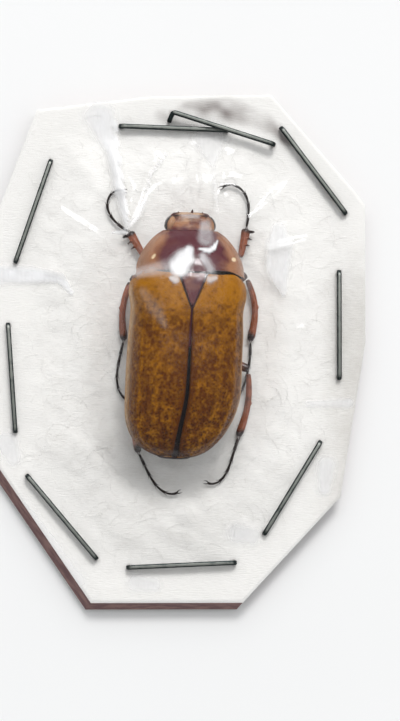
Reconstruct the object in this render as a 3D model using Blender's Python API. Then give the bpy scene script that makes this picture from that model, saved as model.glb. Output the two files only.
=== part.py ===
"""A dried flower beetle in its stapled card packet, at life size.

The constants are in millimetres and the scene is in metres. +Y points to the beetle's head and +Z is up.
The origin lies under the middle of the packet, on the surface that the packet rests on.
"""

import math
from dataclasses import dataclass

import bmesh
import bpy
import numpy as np
from mathutils import Matrix, Vector

MM = 0.001
GAP = 0.06  # between neighbouring solids

# The packet, from the bottom up: folded staple legs, card, cotton, film, staple crowns.
WIRE_WIDTH = 0.50
WIRE_THICKNESS = 0.40
CARD_THICKNESS = 1.00
CARD_LEAN = (-0.45, -0.6)  # its cut edges slant: how far the lower face is moved against the upper
CARD_LEAN_SPAN = (5.0, -5.0)  # the slant grows from nothing at the first y to all of it at the second
COTTON_EDGE = 0.30  # pressed thin by the staples
COTTON_MIDDLE = 0.90
FILM_THICKNESS = 0.22
BORDER = 4.1  # the flat rim that the staples hold
COTTON_SLOPE = 2.0  # how wide the cotton's rise is, inside the border
CARD_BOTTOM = WIRE_THICKNESS + GAP
CARD_TOP = CARD_BOTTOM + CARD_THICKNESS
COTTON_BOTTOM = CARD_TOP + GAP
COTTON_TOP = COTTON_BOTTOM + COTTON_MIDDLE
FILM_RIM = COTTON_BOTTOM + COTTON_EDGE + GAP
CROWN_BOTTOM = FILM_RIM + FILM_THICKNESS + GAP
FILM_CLEARANCE = 0.48  # from the beetle to the film's facets
FILM_SLOPE = COTTON_SLOPE
FILM_SHARES = (0.84, 0.68, 0.54, 0.4, 0.26, 0.13)  # its inner rings, against the outermost free one
FILM_GRID = 0.7
FILM_PULL = 0.28  # how strongly the air outside presses it down: its bend where it is free, per mm
FILM_ROUNDS = 500  # of settling, until its heights stay the same
OUTLINE_DIRECTIONS = 26
PACKET_CORNERS = (
    (-15.7, 11.4),
    (-15.7, -10.1),
    (-7.6, -21.95),
    (5.4, -21.95),
    (13.8, -12.9),
    (16.0, 0.4),
    (16.0, 12.3),
    (15.1, 13.5),
    (7.9, 21.8),
    (-2.6, 21.6),
    (-12.3, 20.4),
)
CROWN_LENGTH = 9.4
CLINCH_LENGTH = 1.9
WIRE_BEND = 0.16
HOLE_MARGIN = 0.08


@dataclass(frozen=True)
class Staple:
    """One staple: the middle of its crown, the way it lies, and how far it rides up on another."""

    middle: tuple
    angle: float
    lift: float = 0.0


STAPLES = (
    Staple((-12.6, 11.6), 71.0),
    Staple((-14.4, -2.7), 94.0),
    Staple((-10.1, -14.6), 130.0),
    Staple((0.15, -18.7), 2.5),
    Staple((9.65, -12.1), 58.5),
    Staple((13.7, 1.9), 90.0),
    Staple((11.5, 15.2), -53.0),
    Staple((3.68, 18.78), -17.5, 0.46),
    Staple((-0.55, 18.8), -2.0),
)

# The beetle, in its own frame: +Y forward from the middle of the body, z from the keel of the belly.
BEETLE_PLACE = (0.14, 0.75)
BEETLE_YAW = -2.7  # degrees: the head end is turned to the right
BEETLE_ROLL = 5.0  # degrees: the right side is lower
NECK = 5.26  # where the head and its shield are turned and moved against the rest
NECK_YAW = 1.9
NECK_SHIFT = 0.12
KEEL_RISE = 0.12  # of the keel over the cotton
APEX = -10.35  # where the wing cases end
SHELL = 0.45  # the wing case's thickness
UPPER_SQUARENESS = 2.5  # of the back's superellipse sections
LOWER_SQUARENESS = 1.6
RING_SIDES = 22

# Stations along the body: (y, value), from front to back.
PRONOTUM_HALF_WIDTH = ((8.9, 2.3), (8.5, 2.9), (7.9, 3.48), (7.1, 4.02), (6.2, 4.42), (5.25, 4.68))
PRONOTUM_TOP = ((8.9, 3.45), (8.2, 4.2), (7.2, 4.98), (6.2, 5.48), (5.25, 5.72))
PRONOTUM_MARGIN = ((8.9, 2.35), (7.0, 2.35), (5.25, 2.6))
PRONOTUM_BELLY = ((8.9, 1.35), (7.6, 0.85), (6.4, 0.75), (5.25, 0.9))
WING_CASE_HALF_WIDTH = ((5.16, 4.55), (4.7, 4.92), (3.7, 4.98), (2.0, 4.74), (0.0, 4.82), (-2.9, 4.82))
WING_CASE_RISE = ((5.16, 3.18), (4.2, 3.4), (2.2, 3.6), (0.0, 3.68))
WING_CASE_MARGIN = ((5.16, 2.6), (2.2, 2.62), (0.0, 2.45), (-6.0, 2.4), (-10.5, 2.5))
BELLY = (
    (5.0, 0.9),
    (4.0, 0.15),
    (2.0, 0.0),
    (-1.0, 0.0),
    (-5.0, 0.15),
    (-8.0, 0.6),
    (-9.3, 1.0),
    (-10.3, 1.7),
)
HEAD_HALF_WIDTH = ((10.55, 1.36), (10.4, 1.6), (10.2, 1.74), (9.9, 1.8), (9.5, 1.92), (9.0, 2.05))
HEAD_TOP = ((10.55, 2.35), (10.0, 2.7), (9.0, 3.2))
HEAD_BELLY = ((10.55, 1.9), (10.2, 1.45), (9.6, 1.05), (9.0, 1.2))

PRONOTUM_SPAN = (8.9, 5.46)
PRONOTUM_ROWS = 9
WING_CASE_BASE = 5.16
WING_CASE_NEAR_ROWS = (0, 0.015, 0.035, 0.07, 0.13, 0.21)  # shares of its length, closest at the base
WING_CASE_FAR_ROWS = (0.3, 0.4, 0.5, 0.59, 0.68, 0.76, 0.83, 0.89, 0.93, 0.96, 0.98)
WING_CASE_ROWS = WING_CASE_NEAR_ROWS + WING_CASE_FAR_ROWS
WING_CASE_COLUMNS = 8
BACK_ROUNDING = 0.0  # the back drops to the apex behind this station
SIDE_ROUNDING = -2.9  # the sides draw in behind this one
BACK_TAPER = (2.6, 0.4)  # shoulder and tip
SIDE_TAPER = (3.0, 0.45)
SWAY = -0.5  # how far the hind body bends to the left
SWAY_SPAN = (-4.5, -9.5)
THORAX_ROWS = (5.0, 4.6, 4.0, 3.1, 2.1, 1.1, 0.0, -1.0)
ABDOMEN_ROWS = (-1.06, -2.2, -3.4, -4.6, -5.7, -6.7, -7.6, -8.4, -9.1)
# Along the last plate: where its section is, the station it is taken at, and how much of its back it has.
PYGIDIUM_ROWS = ((-9.16, -9.4, 1.0), (-9.68, -9.82, 0.75), (-10.04, -10.04, 0.0), (-10.3, -10.18, 0.0))
HEAD_SPAN = (9.0, 10.55)
HEAD_ROWS = 6
HEAD_SIDES = 16
HEAD_SQUARENESS = (2.6, 2.2)
SCUTELLUM_HALF_WIDTH = 1.25
SCUTELLUM_TIP = 2.1
SCUTELLUM_BLUNTING = 0.35  # how far short of that tip the plate ends
SCUTELLUM_THICKNESS = 0.4
SCUTELLUM_DROP = 0.02  # below the wing cases and inside their edges
SCUTELLUM_CROWN = 0.04
SCUTELLUM_ROWS = 6
SCUTELLUM_COLUMNS = 5
WING_CASE_PARTING = 0.6  # degrees that each wing case stands open
EYE_PLACE = (1.78, 9.66, 2.2)
EYE_RADII = (0.4, 0.62, 0.52)
HORN_PLACES = ((-1.03, 10.36, 2.15), (0.15, 10.45, 2.25), (1.03, 10.36, 2.15))
HORN_STATIONS = ((-0.2, 0.0, 0.2), (0.15, 0.12, 0.18), (0.3, 0.3, 0.08))  # forward, up, radius
HORN_DEPTH = 0.8  # of its width
BALL_SIDES = 10
BALL_RINGS = 6

# Stations of the feelers, on the right side: (x, y, z, radius).
ANTENNA_STATIONS = (
    (1.3, 9.95, 0.95, 0.25),
    (1.6, 9.8, 0.92, 0.25),
    (1.75, 9.45, 0.85, 0.25),
    (1.78, 9.05, 0.72, 0.36),
    (1.75, 8.4, 0.66, 0.26),
)
PALP_STATIONS = ((0.5, 9.6, 0.72, 0.25), (0.6, 9.95, 0.75, 0.25), (0.7, 10.3, 0.95, 0.22))
FEELER_SIDES = 8
# y, z and radius along the thorax's forward spine.
THORAX_SPINE_STATIONS = ((3.4, 0.6, 0.5), (4.6, 0.42, 0.42), (5.5, 0.36, 0.3), (6.2, 0.4, 0.12))
THORAX_SPINE_DEPTH = 0.7


@dataclass(frozen=True)
class Leg:
    """One leg. The hip is in the beetle's frame; the knee and ankle are packet (x, y) over the cotton."""

    name: str
    hip: tuple
    knee: tuple
    knee_rise: float
    ankle: tuple
    bow: float  # the tibia's bulge away from the body
    foot_heading: float  # degrees from +X at the ankle
    foot_turn: float  # degrees that the foot curls by, to its tip
    curl_power: float  # 1 for an even curl, more where it gathers at the tip
    toothed: bool = False


LEGS = (
    Leg("front_left", (-0.75, 6.6, 0.8), (-2.9, 7.3), 0.85, (-4.3, 9.7), 0.0, 145, -160, 2.0, True),
    Leg("front_right", (0.75, 6.6, 0.8), (5.05, 7.2), 0.75, (5.65, 10.0), 0.0, 80, 132, 2.1, True),
    Leg("middle_left", (-1.1, 2.6, 0.4), (-4.15, 5.85), 0.75, (-4.82, 0.6), 0.42, 257, 65, 3.2),
    Leg("middle_right", (1.1, 2.6, 0.4), (5.55, 6.1), 0.75, (6.0, 0.56), 0.6, 272, -30, 1.0),
    Leg("hind_left", (-1.2, -0.9, 0.4), (-4.35, -3.6), 1.2, (-3.6, -9.0), 0.1, 295, 92, 3.4),
    Leg("hind_right", (1.2, -0.9, 0.4), (5.75, -1.95), 1.2, (5.0, -7.6), 0.4, 254, -98, 4.2),
)
FEMUR_STATIONS = ((0.0, 0.32), (0.3, 0.55), (0.65, 0.55), (0.9, 0.4), (1.0, 0.34))
FEMUR_DEPTH = 0.8  # of its width
FEMUR_THICKEST = 0.55
FEMUR_SIDES = 9
HOLLOW_DEPTH = 0.9  # of the width of the hollow that holds a femur
HOLLOW_OVERRUN = 0.6  # how far a cutter runs past what it cuts
TIBIA_STATIONS = ((0.0, 0.25), (0.12, 0.3), (0.6, 0.33), (0.95, 0.4), (1.0, 0.36))
TIBIA_BOW_SHARES = (0.25, 0.42)  # more sections, where it bows
TIBIA_DEPTH = 0.8
TIBIA_SIDES = 8
DIGGING_TEETH = (0.97, 0.72, 0.5)  # their places along a front tibia
SPUR_SHARE = 0.95
TOOTH_REACH = 0.62
DIGGING_TOOTH_LEAD = 0.3
SPUR_LEAD = 0.55
TOOTH_RADIUS = 0.24
SPINE_SIDES = 5
SPINE_TAPER = (1.0, 0.8, 0.45)
KNEE_SPACE = 0.5  # from the end of the femur's axis to the tibia
ANKLE_SPACE = 0.38
FOOT_LENGTH = 5.05
FOOT_SEGMENTS = 5
FOOT_RADII = (0.22, 0.26)  # a segment's near and far end
FOOT_RISE = 0.3
ANKLE_RISE = 0.5
FOOT_SIDES = 6
FOOT_DEPTH = 0.95
CLAW_LENGTH = 0.7
CLAW_ROOT = 0.15  # how deep its root is in the last segment
CLAW_AHEAD = 0.85
CLAW_SPREAD = 0.6
CLAW_RADIUS = 0.17


@dataclass(frozen=True)
class Finish:
    """A material's colour, roughness and metallic value."""

    colour: tuple
    roughness: float
    metallic: float = 0.0
    alpha: float = 1.0


FINISHES = {
    "wing_case": Finish((0.30, 0.15, 0.03), 0.35),
    "red_shell": Finish((0.16, 0.045, 0.025), 0.3),
    "black_shell": Finish((0.012, 0.009, 0.008), 0.3),
    "leg_shell": Finish((0.26, 0.06, 0.02), 0.35),
    "eye": Finish((0.02, 0.015, 0.015), 0.2),
    "card": Finish((0.75, 0.72, 0.68), 0.8),
    "cotton": Finish((0.80, 0.78, 0.74), 0.95),
    "film": Finish((0.9, 0.9, 0.9), 0.1, alpha=0.2),
    "steel": Finish((0.45, 0.44, 0.42), 0.3, 1.0),
}


def material(name):
    """The Principled material of one finish, made on first use."""
    found = bpy.data.materials.get(name)
    if found:
        return found
    finish = FINISHES[name]
    made = bpy.data.materials.new(name)
    made.use_nodes = True
    shader = made.node_tree.nodes["Principled BSDF"]
    shader.inputs["Base Color"].default_value = (*finish.colour, 1)
    shader.inputs["Roughness"].default_value = finish.roughness
    shader.inputs["Metallic"].default_value = finish.metallic
    shader.inputs["Alpha"].default_value = finish.alpha
    return made


def add_mesh(name, points, faces, finish, parent=None, cutter=False):
    """One named object from points in millimetres, its faces turned outwards."""
    mesh = bpy.data.meshes.new(name)
    mesh.from_pydata([Vector(p) * MM for p in points], [], faces)
    shape = bmesh.new()
    shape.from_mesh(mesh)
    bmesh.ops.remove_doubles(shape, verts=shape.verts, dist=1e-7)
    bmesh.ops.recalc_face_normals(shape, faces=shape.faces)
    shape.to_mesh(mesh)
    shape.free()
    mesh.shade_smooth()
    mesh.set_sharp_from_angle(angle=math.radians(40))
    obj = bpy.data.objects.new(name, mesh)
    bpy.context.scene.collection.objects.link(obj)
    obj.parent = parent
    mesh.materials.append(material(finish))
    if cutter:
        obj.hide_render = True
        obj.display_type = "WIRE"
    return obj


def boolean(target, other, operation):
    """Joins or cuts target with other, by the exact solver."""
    step = target.modifiers.new(other.name, "BOOLEAN")
    step.operation = operation
    step.solver = "EXACT"
    step.object = other


def smooth_value(stations, at):
    """The value at one place along stations of (place, value), on a curve with no overshoot."""
    stations = sorted(stations)
    places = [s[0] for s in stations]
    values = [s[1] for s in stations]
    at = min(max(at, places[0]), places[-1])
    slopes = [(values[i + 1] - values[i]) / (places[i + 1] - places[i]) for i in range(len(places) - 1)]
    tangents = [slopes[0]]
    for before, after in zip(slopes, slopes[1:]):
        tangents.append(0.0 if before * after <= 0 else 2 * before * after / (before + after))
    tangents.append(slopes[-1])
    i = max(k for k in range(len(slopes)) if places[k] <= at)
    width = places[i + 1] - places[i]
    t = (at - places[i]) / width
    return (
        values[i] * (1 + 2 * t) * (1 - t) ** 2
        + tangents[i] * width * t * (1 - t) ** 2
        + values[i + 1] * t * t * (3 - 2 * t)
        + tangents[i + 1] * width * t * t * (t - 1)
    )


def superellipse(angle, squareness):
    """(across, up) on a unit superellipse."""
    across, up = math.cos(angle), math.sin(angle)
    power = 2 / squareness
    return math.copysign(abs(across) ** power, across), math.copysign(abs(up) ** power, up)


def loft_faces(ring_count, sides):
    """Faces of a closed loft: bands of quads between the rings, and a cap at each end."""
    faces = []
    for i in range(ring_count - 1):
        for j in range(sides):
            k = (j + 1) % sides
            faces.append((i * sides + j, i * sides + k, (i + 1) * sides + k, (i + 1) * sides + j))
    faces.append(tuple(range(sides)))
    faces.append(tuple((ring_count - 1) * sides + j for j in range(sides)))
    return faces


def add_loft(name, rings, finish, parent=None, cutter=False):
    """One closed body through rings that have the same number of points."""
    points = [p for ring in rings for p in ring]
    return add_mesh(name, points, loft_faces(len(rings), len(rings[0])), finish, parent, cutter)


def steps(start, end, count):
    """Evenly spaced values from start to end."""
    return [start + (end - start) * i / (count - 1) for i in range(count)]


def taper(t, shoulder, tip):
    """1 at t = 0, falling to 0 at t = 1: a higher shoulder starts later, a lower tip ends blunter."""
    return max(0.0, 1 - max(t, 0.0) ** shoulder) ** tip


def sway(y):
    """How far the hind body's section at y lies to the side."""
    start, end = SWAY_SPAN
    t = min(max((y - start) / (end - start), 0.0), 1.0)
    return SWAY * t * t * (3 - 2 * t)


def wing_case_half_width(y):
    """Half the width over both wing cases at one station."""
    t = (SIDE_ROUNDING - y) / (SIDE_ROUNDING - APEX)
    return smooth_value(WING_CASE_HALF_WIDTH, y) * taper(t, *SIDE_TAPER)


def wing_case_rise(y):
    """The back's height over the wing case's side edge."""
    t = (BACK_ROUNDING - y) / (BACK_ROUNDING - APEX)
    return smooth_value(WING_CASE_RISE, y) * taper(t, *BACK_TAPER)


def scutellum_half_width(y):
    """Half the width of the triangular scutellum, which parts the wing cases at their base."""
    return max(0.0, SCUTELLUM_HALF_WIDTH * (y - SCUTELLUM_TIP) / (WING_CASE_BASE - SCUTELLUM_TIP))


def wing_case_point(y, across, inset):
    """A point of the right wing case: across runs from the seam at 0 to the side edge at 1."""
    width = wing_case_half_width(y) - inset
    rise = wing_case_rise(y) - inset
    seam = (scutellum_half_width(y) + GAP) / width
    start = math.asin(min(seam, 0.95) ** (UPPER_SQUARENESS / 2))
    angle = start + across * (math.pi / 2 - start)
    x = width * math.sin(angle) ** (2 / UPPER_SQUARENESS)
    z = smooth_value(WING_CASE_MARGIN, y) + rise * max(0.0, math.cos(angle)) ** (2 / UPPER_SQUARENESS)
    return x, z


def add_wing_case(side, beetle):
    """One wing case: a thin domed shell, turned out a little about its base."""
    rows, columns = len(WING_CASE_ROWS), WING_CASE_COLUMNS
    stations = [WING_CASE_BASE + (APEX - WING_CASE_BASE) * t for t in WING_CASE_ROWS]
    turn = Matrix.Rotation(math.radians(WING_CASE_PARTING) * side, 3, "Z")
    base = Vector((0, WING_CASE_BASE, 0))
    points = []
    for inset in (0.0, SHELL):
        for y in stations:
            for v in steps(0.0, 1.0, columns):
                x, z = wing_case_point(y, v, inset)
                points.append(base + turn @ (Vector((side * x, y, z)) - base) + Vector((sway(y), 0, 0)))
    faces = []
    layer = rows * columns
    for i in range(rows - 1):
        for j in range(columns - 1):
            quad = (i * columns + j, i * columns + j + 1, (i + 1) * columns + j + 1, (i + 1) * columns + j)
            faces.append(quad)
            faces.append(tuple(layer + k for k in reversed(quad)))
    rim = list(range(columns))
    rim += [i * columns + columns - 1 for i in range(1, rows)]
    rim += [(rows - 1) * columns + j for j in range(columns - 2, -1, -1)]
    rim += [i * columns for i in range(rows - 2, 0, -1)]
    for a, b in zip(rim, rim[1:] + rim[:1]):
        faces.append((a, b, layer + b, layer + a))
    name = "wing_case_right" if side > 0 else "wing_case_left"
    return add_mesh(name, points, faces, "wing_case", beetle)


def body_ring(y, width, top, margin, belly, upper=UPPER_SQUARENESS, lower=LOWER_SQUARENESS, sides=RING_SIDES):
    """One section of the body: a squarish back over a keeled belly."""
    ring = []
    for j in range(sides):
        angle = 2 * math.pi * j / sides
        across, up = superellipse(angle, upper if angle <= math.pi else lower)
        height = margin + (top - margin) * up if up > 0 else margin + (margin - belly) * up
        ring.append((width * across, y, height))
    return ring


def under_ring(y, station=None, back=1.0):
    """One section under the wing cases: it fits inside the shells, and bulges out to the sides below them."""
    inside = SHELL + GAP
    station = y if station is None else station
    width = wing_case_half_width(station)
    margin = smooth_value(WING_CASE_MARGIN, station)
    rise = (wing_case_rise(station) - inside) * back
    belly = smooth_value(BELLY, y)
    half = RING_SIDES // 2
    ring = []
    for j in range(half + 1):
        across, up = superellipse(math.pi * j / half, UPPER_SQUARENESS)
        ring.append(((width - inside) * across + sway(y), y, margin - GAP + rise * up))
    for j in range(half + 1):
        across, up = superellipse(math.pi + math.pi * j / half, LOWER_SQUARENESS)
        low_margin = margin - 2 * GAP
        ring.append(((width - 2 * GAP) * across + sway(y), y, low_margin + (low_margin - belly) * up))
    return ring


def add_trunk(beetle):
    """The thorax with its forward spine, the abdomen and the pygidium."""
    thorax = add_loft("thorax", [under_ring(y) for y in THORAX_ROWS], "red_shell", beetle)
    abdomen = add_loft("abdomen", [under_ring(y) for y in ABDOMEN_ROWS], "black_shell", beetle)
    pygidium = add_loft("pygidium", [under_ring(*row) for row in PYGIDIUM_ROWS], "red_shell", beetle)
    route = [Vector((0, y, z)) for y, z, _ in THORAX_SPINE_STATIONS]
    radii = [radius for *_, radius in THORAX_SPINE_STATIONS]
    depth = THORAX_SPINE_DEPTH
    spine = add_tube("thorax_spine", route, radii, depth, FEELER_SIDES, "red_shell", beetle, True)
    boolean(thorax, spine, "UNION")
    return thorax, abdomen, pygidium


def add_pronotum(front):
    """The shield behind the head, with the underside of its ring."""
    rings = []
    for y in steps(*PRONOTUM_SPAN, PRONOTUM_ROWS):
        rings.append(
            body_ring(
                y,
                smooth_value(PRONOTUM_HALF_WIDTH, y),
                smooth_value(PRONOTUM_TOP, y),
                smooth_value(PRONOTUM_MARGIN, y),
                smooth_value(PRONOTUM_BELLY, y),
            )
        )
    return add_loft("pronotum", rings, "red_shell", front)


def add_scutellum(beetle):
    """The small triangular plate between the bases of the wing cases."""
    rings = []
    for y in steps(WING_CASE_BASE, SCUTELLUM_TIP + SCUTELLUM_BLUNTING, SCUTELLUM_ROWS):
        width = scutellum_half_width(y) - SCUTELLUM_DROP
        top = smooth_value(WING_CASE_MARGIN, y) + wing_case_rise(y) - SCUTELLUM_DROP
        across = steps(-1, 1, SCUTELLUM_COLUMNS)
        ring = [(x * width, y, top - SCUTELLUM_CROWN * x * x) for x in across]
        ring += [(x * width, y, top - SCUTELLUM_THICKNESS) for x in reversed(across)]
        rings.append(ring)
    return add_loft("scutellum", rings, "red_shell", beetle)


def add_ball(name, centre, radii, finish, parent, cutter=False):
    """A closed ellipsoid."""
    shape = bmesh.new()
    bmesh.ops.create_uvsphere(shape, u_segments=BALL_SIDES, v_segments=BALL_RINGS, radius=1.0)
    points = [Vector(v.co[k] * radii[k] + centre[k] for k in range(3)) for v in shape.verts]
    faces = [tuple(v.index for v in f.verts) for f in shape.faces]
    shape.free()
    return add_mesh(name, points, faces, finish, parent, cutter)


def add_tube(name, route, radii, depth, sides, finish, parent=None, cutter=False):
    """A closed tube along a route; depth is its height as a share of its width."""
    rings = []
    for i, (place, radius) in enumerate(zip(route, radii)):
        run = (route[min(i + 1, len(route) - 1)] - route[max(i - 1, 0)]).normalized()
        across = run.cross(Vector((0, 0, 1))).normalized()
        up = across.cross(run).normalized()
        ring = []
        for j in range(sides):
            angle = 2 * math.pi * j / sides
            ring.append(place + across * math.cos(angle) * radius + up * math.sin(angle) * radius * depth)
        rings.append(ring)
    return add_loft(name, rings, finish, parent, cutter)


def add_head(front):
    """The head with its clypeus and three short horns, and the eyes in their sockets."""
    rings = []
    for y in steps(*HEAD_SPAN, HEAD_ROWS):
        width, top, belly = (smooth_value(s, y) for s in (HEAD_HALF_WIDTH, HEAD_TOP, HEAD_BELLY))
        rings.append(body_ring(y, width, top, (top + belly) / 2, belly, *HEAD_SQUARENESS, HEAD_SIDES))
    head = add_loft("head", rings, "red_shell", front)
    for side, word in ((-1, "left"), (1, "right")):
        centre = (side * EYE_PLACE[0], *EYE_PLACE[1:])
        socket = [r + GAP for r in EYE_RADII]
        boolean(head, add_ball(f"socket_{word}", centre, socket, "eye", front, True), "DIFFERENCE")
        add_ball(f"eye_{word}", centre, EYE_RADII, "eye", front)
        add_feelers(side, word, front)
    radii = [radius for *_, radius in HORN_STATIONS]
    for i, place in enumerate(HORN_PLACES):
        route = [Vector(place) + Vector((0, forward, up)) for forward, up, _ in HORN_STATIONS]
        horn = add_tube(f"horn_{i}", route, radii, HORN_DEPTH, SPINE_SIDES, "red_shell", front, True)
        boolean(head, horn, "UNION")


def add_feelers(side, word, front):
    """One antenna, folded back under the eye with its leafed club, and one palp beside the mouth."""
    for name, stations in (("antenna", ANTENNA_STATIONS), ("palp", PALP_STATIONS)):
        route = [Vector((side * x, y, z)) for x, y, z, _ in stations]
        radii = [radius for *_, radius in stations]
        add_tube(f"{name}_{word}", route, radii, 1.0, FEELER_SIDES, "leg_shell", front)


def foot_route(leg):
    """Points along the foot, by following its heading as it curls."""
    count = 2 * FOOT_SEGMENTS
    step = FOOT_LENGTH / count
    place = Vector((*leg.ankle, COTTON_TOP + FOOT_RISE))
    heading = math.radians(leg.foot_heading)
    place += Vector((math.cos(heading), math.sin(heading), 0)) * ANKLE_SPACE
    route = [place.copy()]
    for i in range(count):
        share = (i + 0.5) / count
        heading = math.radians(leg.foot_heading + leg.foot_turn * share**leg.curl_power)
        place += Vector((math.cos(heading), math.sin(heading), 0)) * step
        route.append(place.copy())
    return route


def add_spine(name, root, tip, radius, finish):
    """A hidden pointed cone, to be joined to a limb."""
    route = [root, root.lerp(tip, 0.5), tip]
    radii = [radius * share for share in SPINE_TAPER]
    return add_tube(name, route, radii, 1.0, SPINE_SIDES, finish, None, True)


def add_leg(leg, place, hollowed):
    """One leg in three nodes, and the hollows that its femur needs in the belly."""
    hip = place @ Vector(leg.hip)
    knee = Vector((*leg.knee, COTTON_TOP + leg.knee_rise))
    ankle = Vector((*leg.ankle, COTTON_TOP + ANKLE_RISE))
    places = [s[0] for s in FEMUR_STATIONS]
    radii = [s[1] for s in FEMUR_STATIONS]
    route = [hip.lerp(knee, t) for t in places]
    for point in route:
        point.z = max(point.z, COTTON_TOP + GAP + FEMUR_THICKEST * FEMUR_DEPTH)
    add_tube(f"leg_{leg.name}_femur", route, radii, FEMUR_DEPTH, FEMUR_SIDES, "leg_shell")
    away = (hip - knee).normalized() * HOLLOW_OVERRUN
    longer = [route[0] + away, *route[1:-1], knee - away]
    wider = [r + 2 * GAP for r in radii]
    name = f"hollow_{leg.name}"
    hollow = add_tube(name, longer, wider, HOLLOW_DEPTH, FEMUR_SIDES, "leg_shell", None, True)
    for body in hollowed:
        boolean(body, hollow, "DIFFERENCE")

    run = ankle - knee
    outward = run.cross(Vector((0, 0, 1))).normalized()
    if outward.x * knee.x < 0:
        outward = -outward
    start = KNEE_SPACE / run.length
    shares = [start + (1 - start) * s[0] for s in TIBIA_STATIONS]
    shares[2:2] = [start + (1 - start) * s for s in TIBIA_BOW_SHARES]
    radii = [smooth_value(TIBIA_STATIONS, (s - start) / (1 - start)) for s in shares]
    route = [knee + run * s + outward * leg.bow * math.sin(math.pi * s) for s in shares]
    tibia = add_tube(f"leg_{leg.name}_tibia", route, radii, TIBIA_DEPTH, TIBIA_SIDES, "leg_shell")
    lead = run.normalized() * (DIGGING_TOOTH_LEAD if leg.toothed else SPUR_LEAD)
    for i, share in enumerate(DIGGING_TEETH if leg.toothed else (SPUR_SHARE,)):
        root = knee + run * share + outward * leg.bow * math.sin(math.pi * share)
        tip = root + outward * TOOTH_REACH + lead
        boolean(tibia, add_spine(f"tooth_{leg.name}_{i}", root, tip, TOOTH_RADIUS, "leg_shell"), "UNION")

    route = foot_route(leg)
    radii = [FOOT_RADII[i % 2] for i in range(len(route))]
    foot = add_tube(f"leg_{leg.name}_foot", route, radii, FOOT_DEPTH, FOOT_SIDES, "black_shell")
    ahead = (route[-1] - route[-2]).normalized()
    beside = ahead.cross(Vector((0, 0, 1)))
    for side in (-1, 1):
        root = route[-1] - ahead * CLAW_ROOT
        tip = root + (ahead * CLAW_AHEAD + beside * side * CLAW_SPREAD) * CLAW_LENGTH
        claw = add_spine(f"claw_{leg.name}_{side + 1}", root, tip, CLAW_RADIUS, "black_shell")
        boolean(foot, claw, "UNION")


def outline_reach(direction, inset):
    """How far the packet's outline, drawn in by inset, lies from the origin in one direction."""
    best = math.inf
    for (x0, y0), (x1, y1) in zip(PACKET_CORNERS, PACKET_CORNERS[1:] + PACKET_CORNERS[:1]):
        along = Vector((x1 - x0, y1 - y0)).normalized()
        outward = Vector((along.y, -along.x))
        toward = outward.dot(direction)
        if toward > 1e-9:
            best = min(best, (outward.dot(Vector((x0, y0))) - inset) / toward)
    return best


def outline_directions():
    """Directions from the origin: one to each corner of the outline, and others evenly between them."""
    corners = sorted(math.atan2(y, x) for x, y in PACKET_CORNERS)
    angles = []
    for a, b in zip(corners, corners[1:] + [corners[0] + 2 * math.pi]):
        count = max(1, round((b - a) / (2 * math.pi) * OUTLINE_DIRECTIONS))
        angles += [a + (b - a) * i / count for i in range(count)]
    return [Vector((math.cos(a), math.sin(a))) for a in angles]


def sheet_rings(insets, shares):
    """Rings of (x, y) points: first those drawn in from the outline, then those shrunk towards the middle."""
    directions = outline_directions()
    rings = [[d * outline_reach(d, inset) for d in directions] for inset in insets]
    rings += [[p * share for p in rings[len(insets) - 1]] for share in shares]
    return rings


def add_layer(name, rings, low, high, finish):
    """A closed sheet over the same rings, between two heights given as functions of a point."""
    count = len(rings[0])
    points = []
    for height in (low, high):
        for ring in rings:
            points += [(p.x, p.y, height(p)) for p in ring]
        points.append((0, 0, height(Vector((0, 0)))))
    layer = len(rings) * count + 1
    faces = []
    for j in range(count):
        k = (j + 1) % count
        for base in (0, layer):
            for i in range(len(rings) - 1):
                near, far = base + i * count, base + (i + 1) * count
                faces.append((near + j, near + k, far + k, far + j))
            last = base + (len(rings) - 1) * count
            faces.append((last + j, last + k, base + layer - 1))
        faces.append((j, k, layer + k, layer + j))
    return add_mesh(name, points, faces, finish)


def outline_depth(point):
    """How far a point lies inside the packet's outline."""
    best = math.inf
    for (x0, y0), (x1, y1) in zip(PACKET_CORNERS, PACKET_CORNERS[1:] + PACKET_CORNERS[:1]):
        along = Vector((x1 - x0, y1 - y0)).normalized()
        best = min(best, Vector((along.y, -along.x)).dot(Vector((x0, y0)) - point))
    return best


def cotton_top(point):
    """The cotton's upper surface: thin under the staples, thick in the middle."""
    t = min(max((outline_depth(point) - BORDER) / COTTON_SLOPE, 0.0), 1.0)
    return COTTON_BOTTOM + COTTON_EDGE + (COTTON_MIDDLE - COTTON_EDGE) * t * t * (3 - 2 * t)


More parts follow.
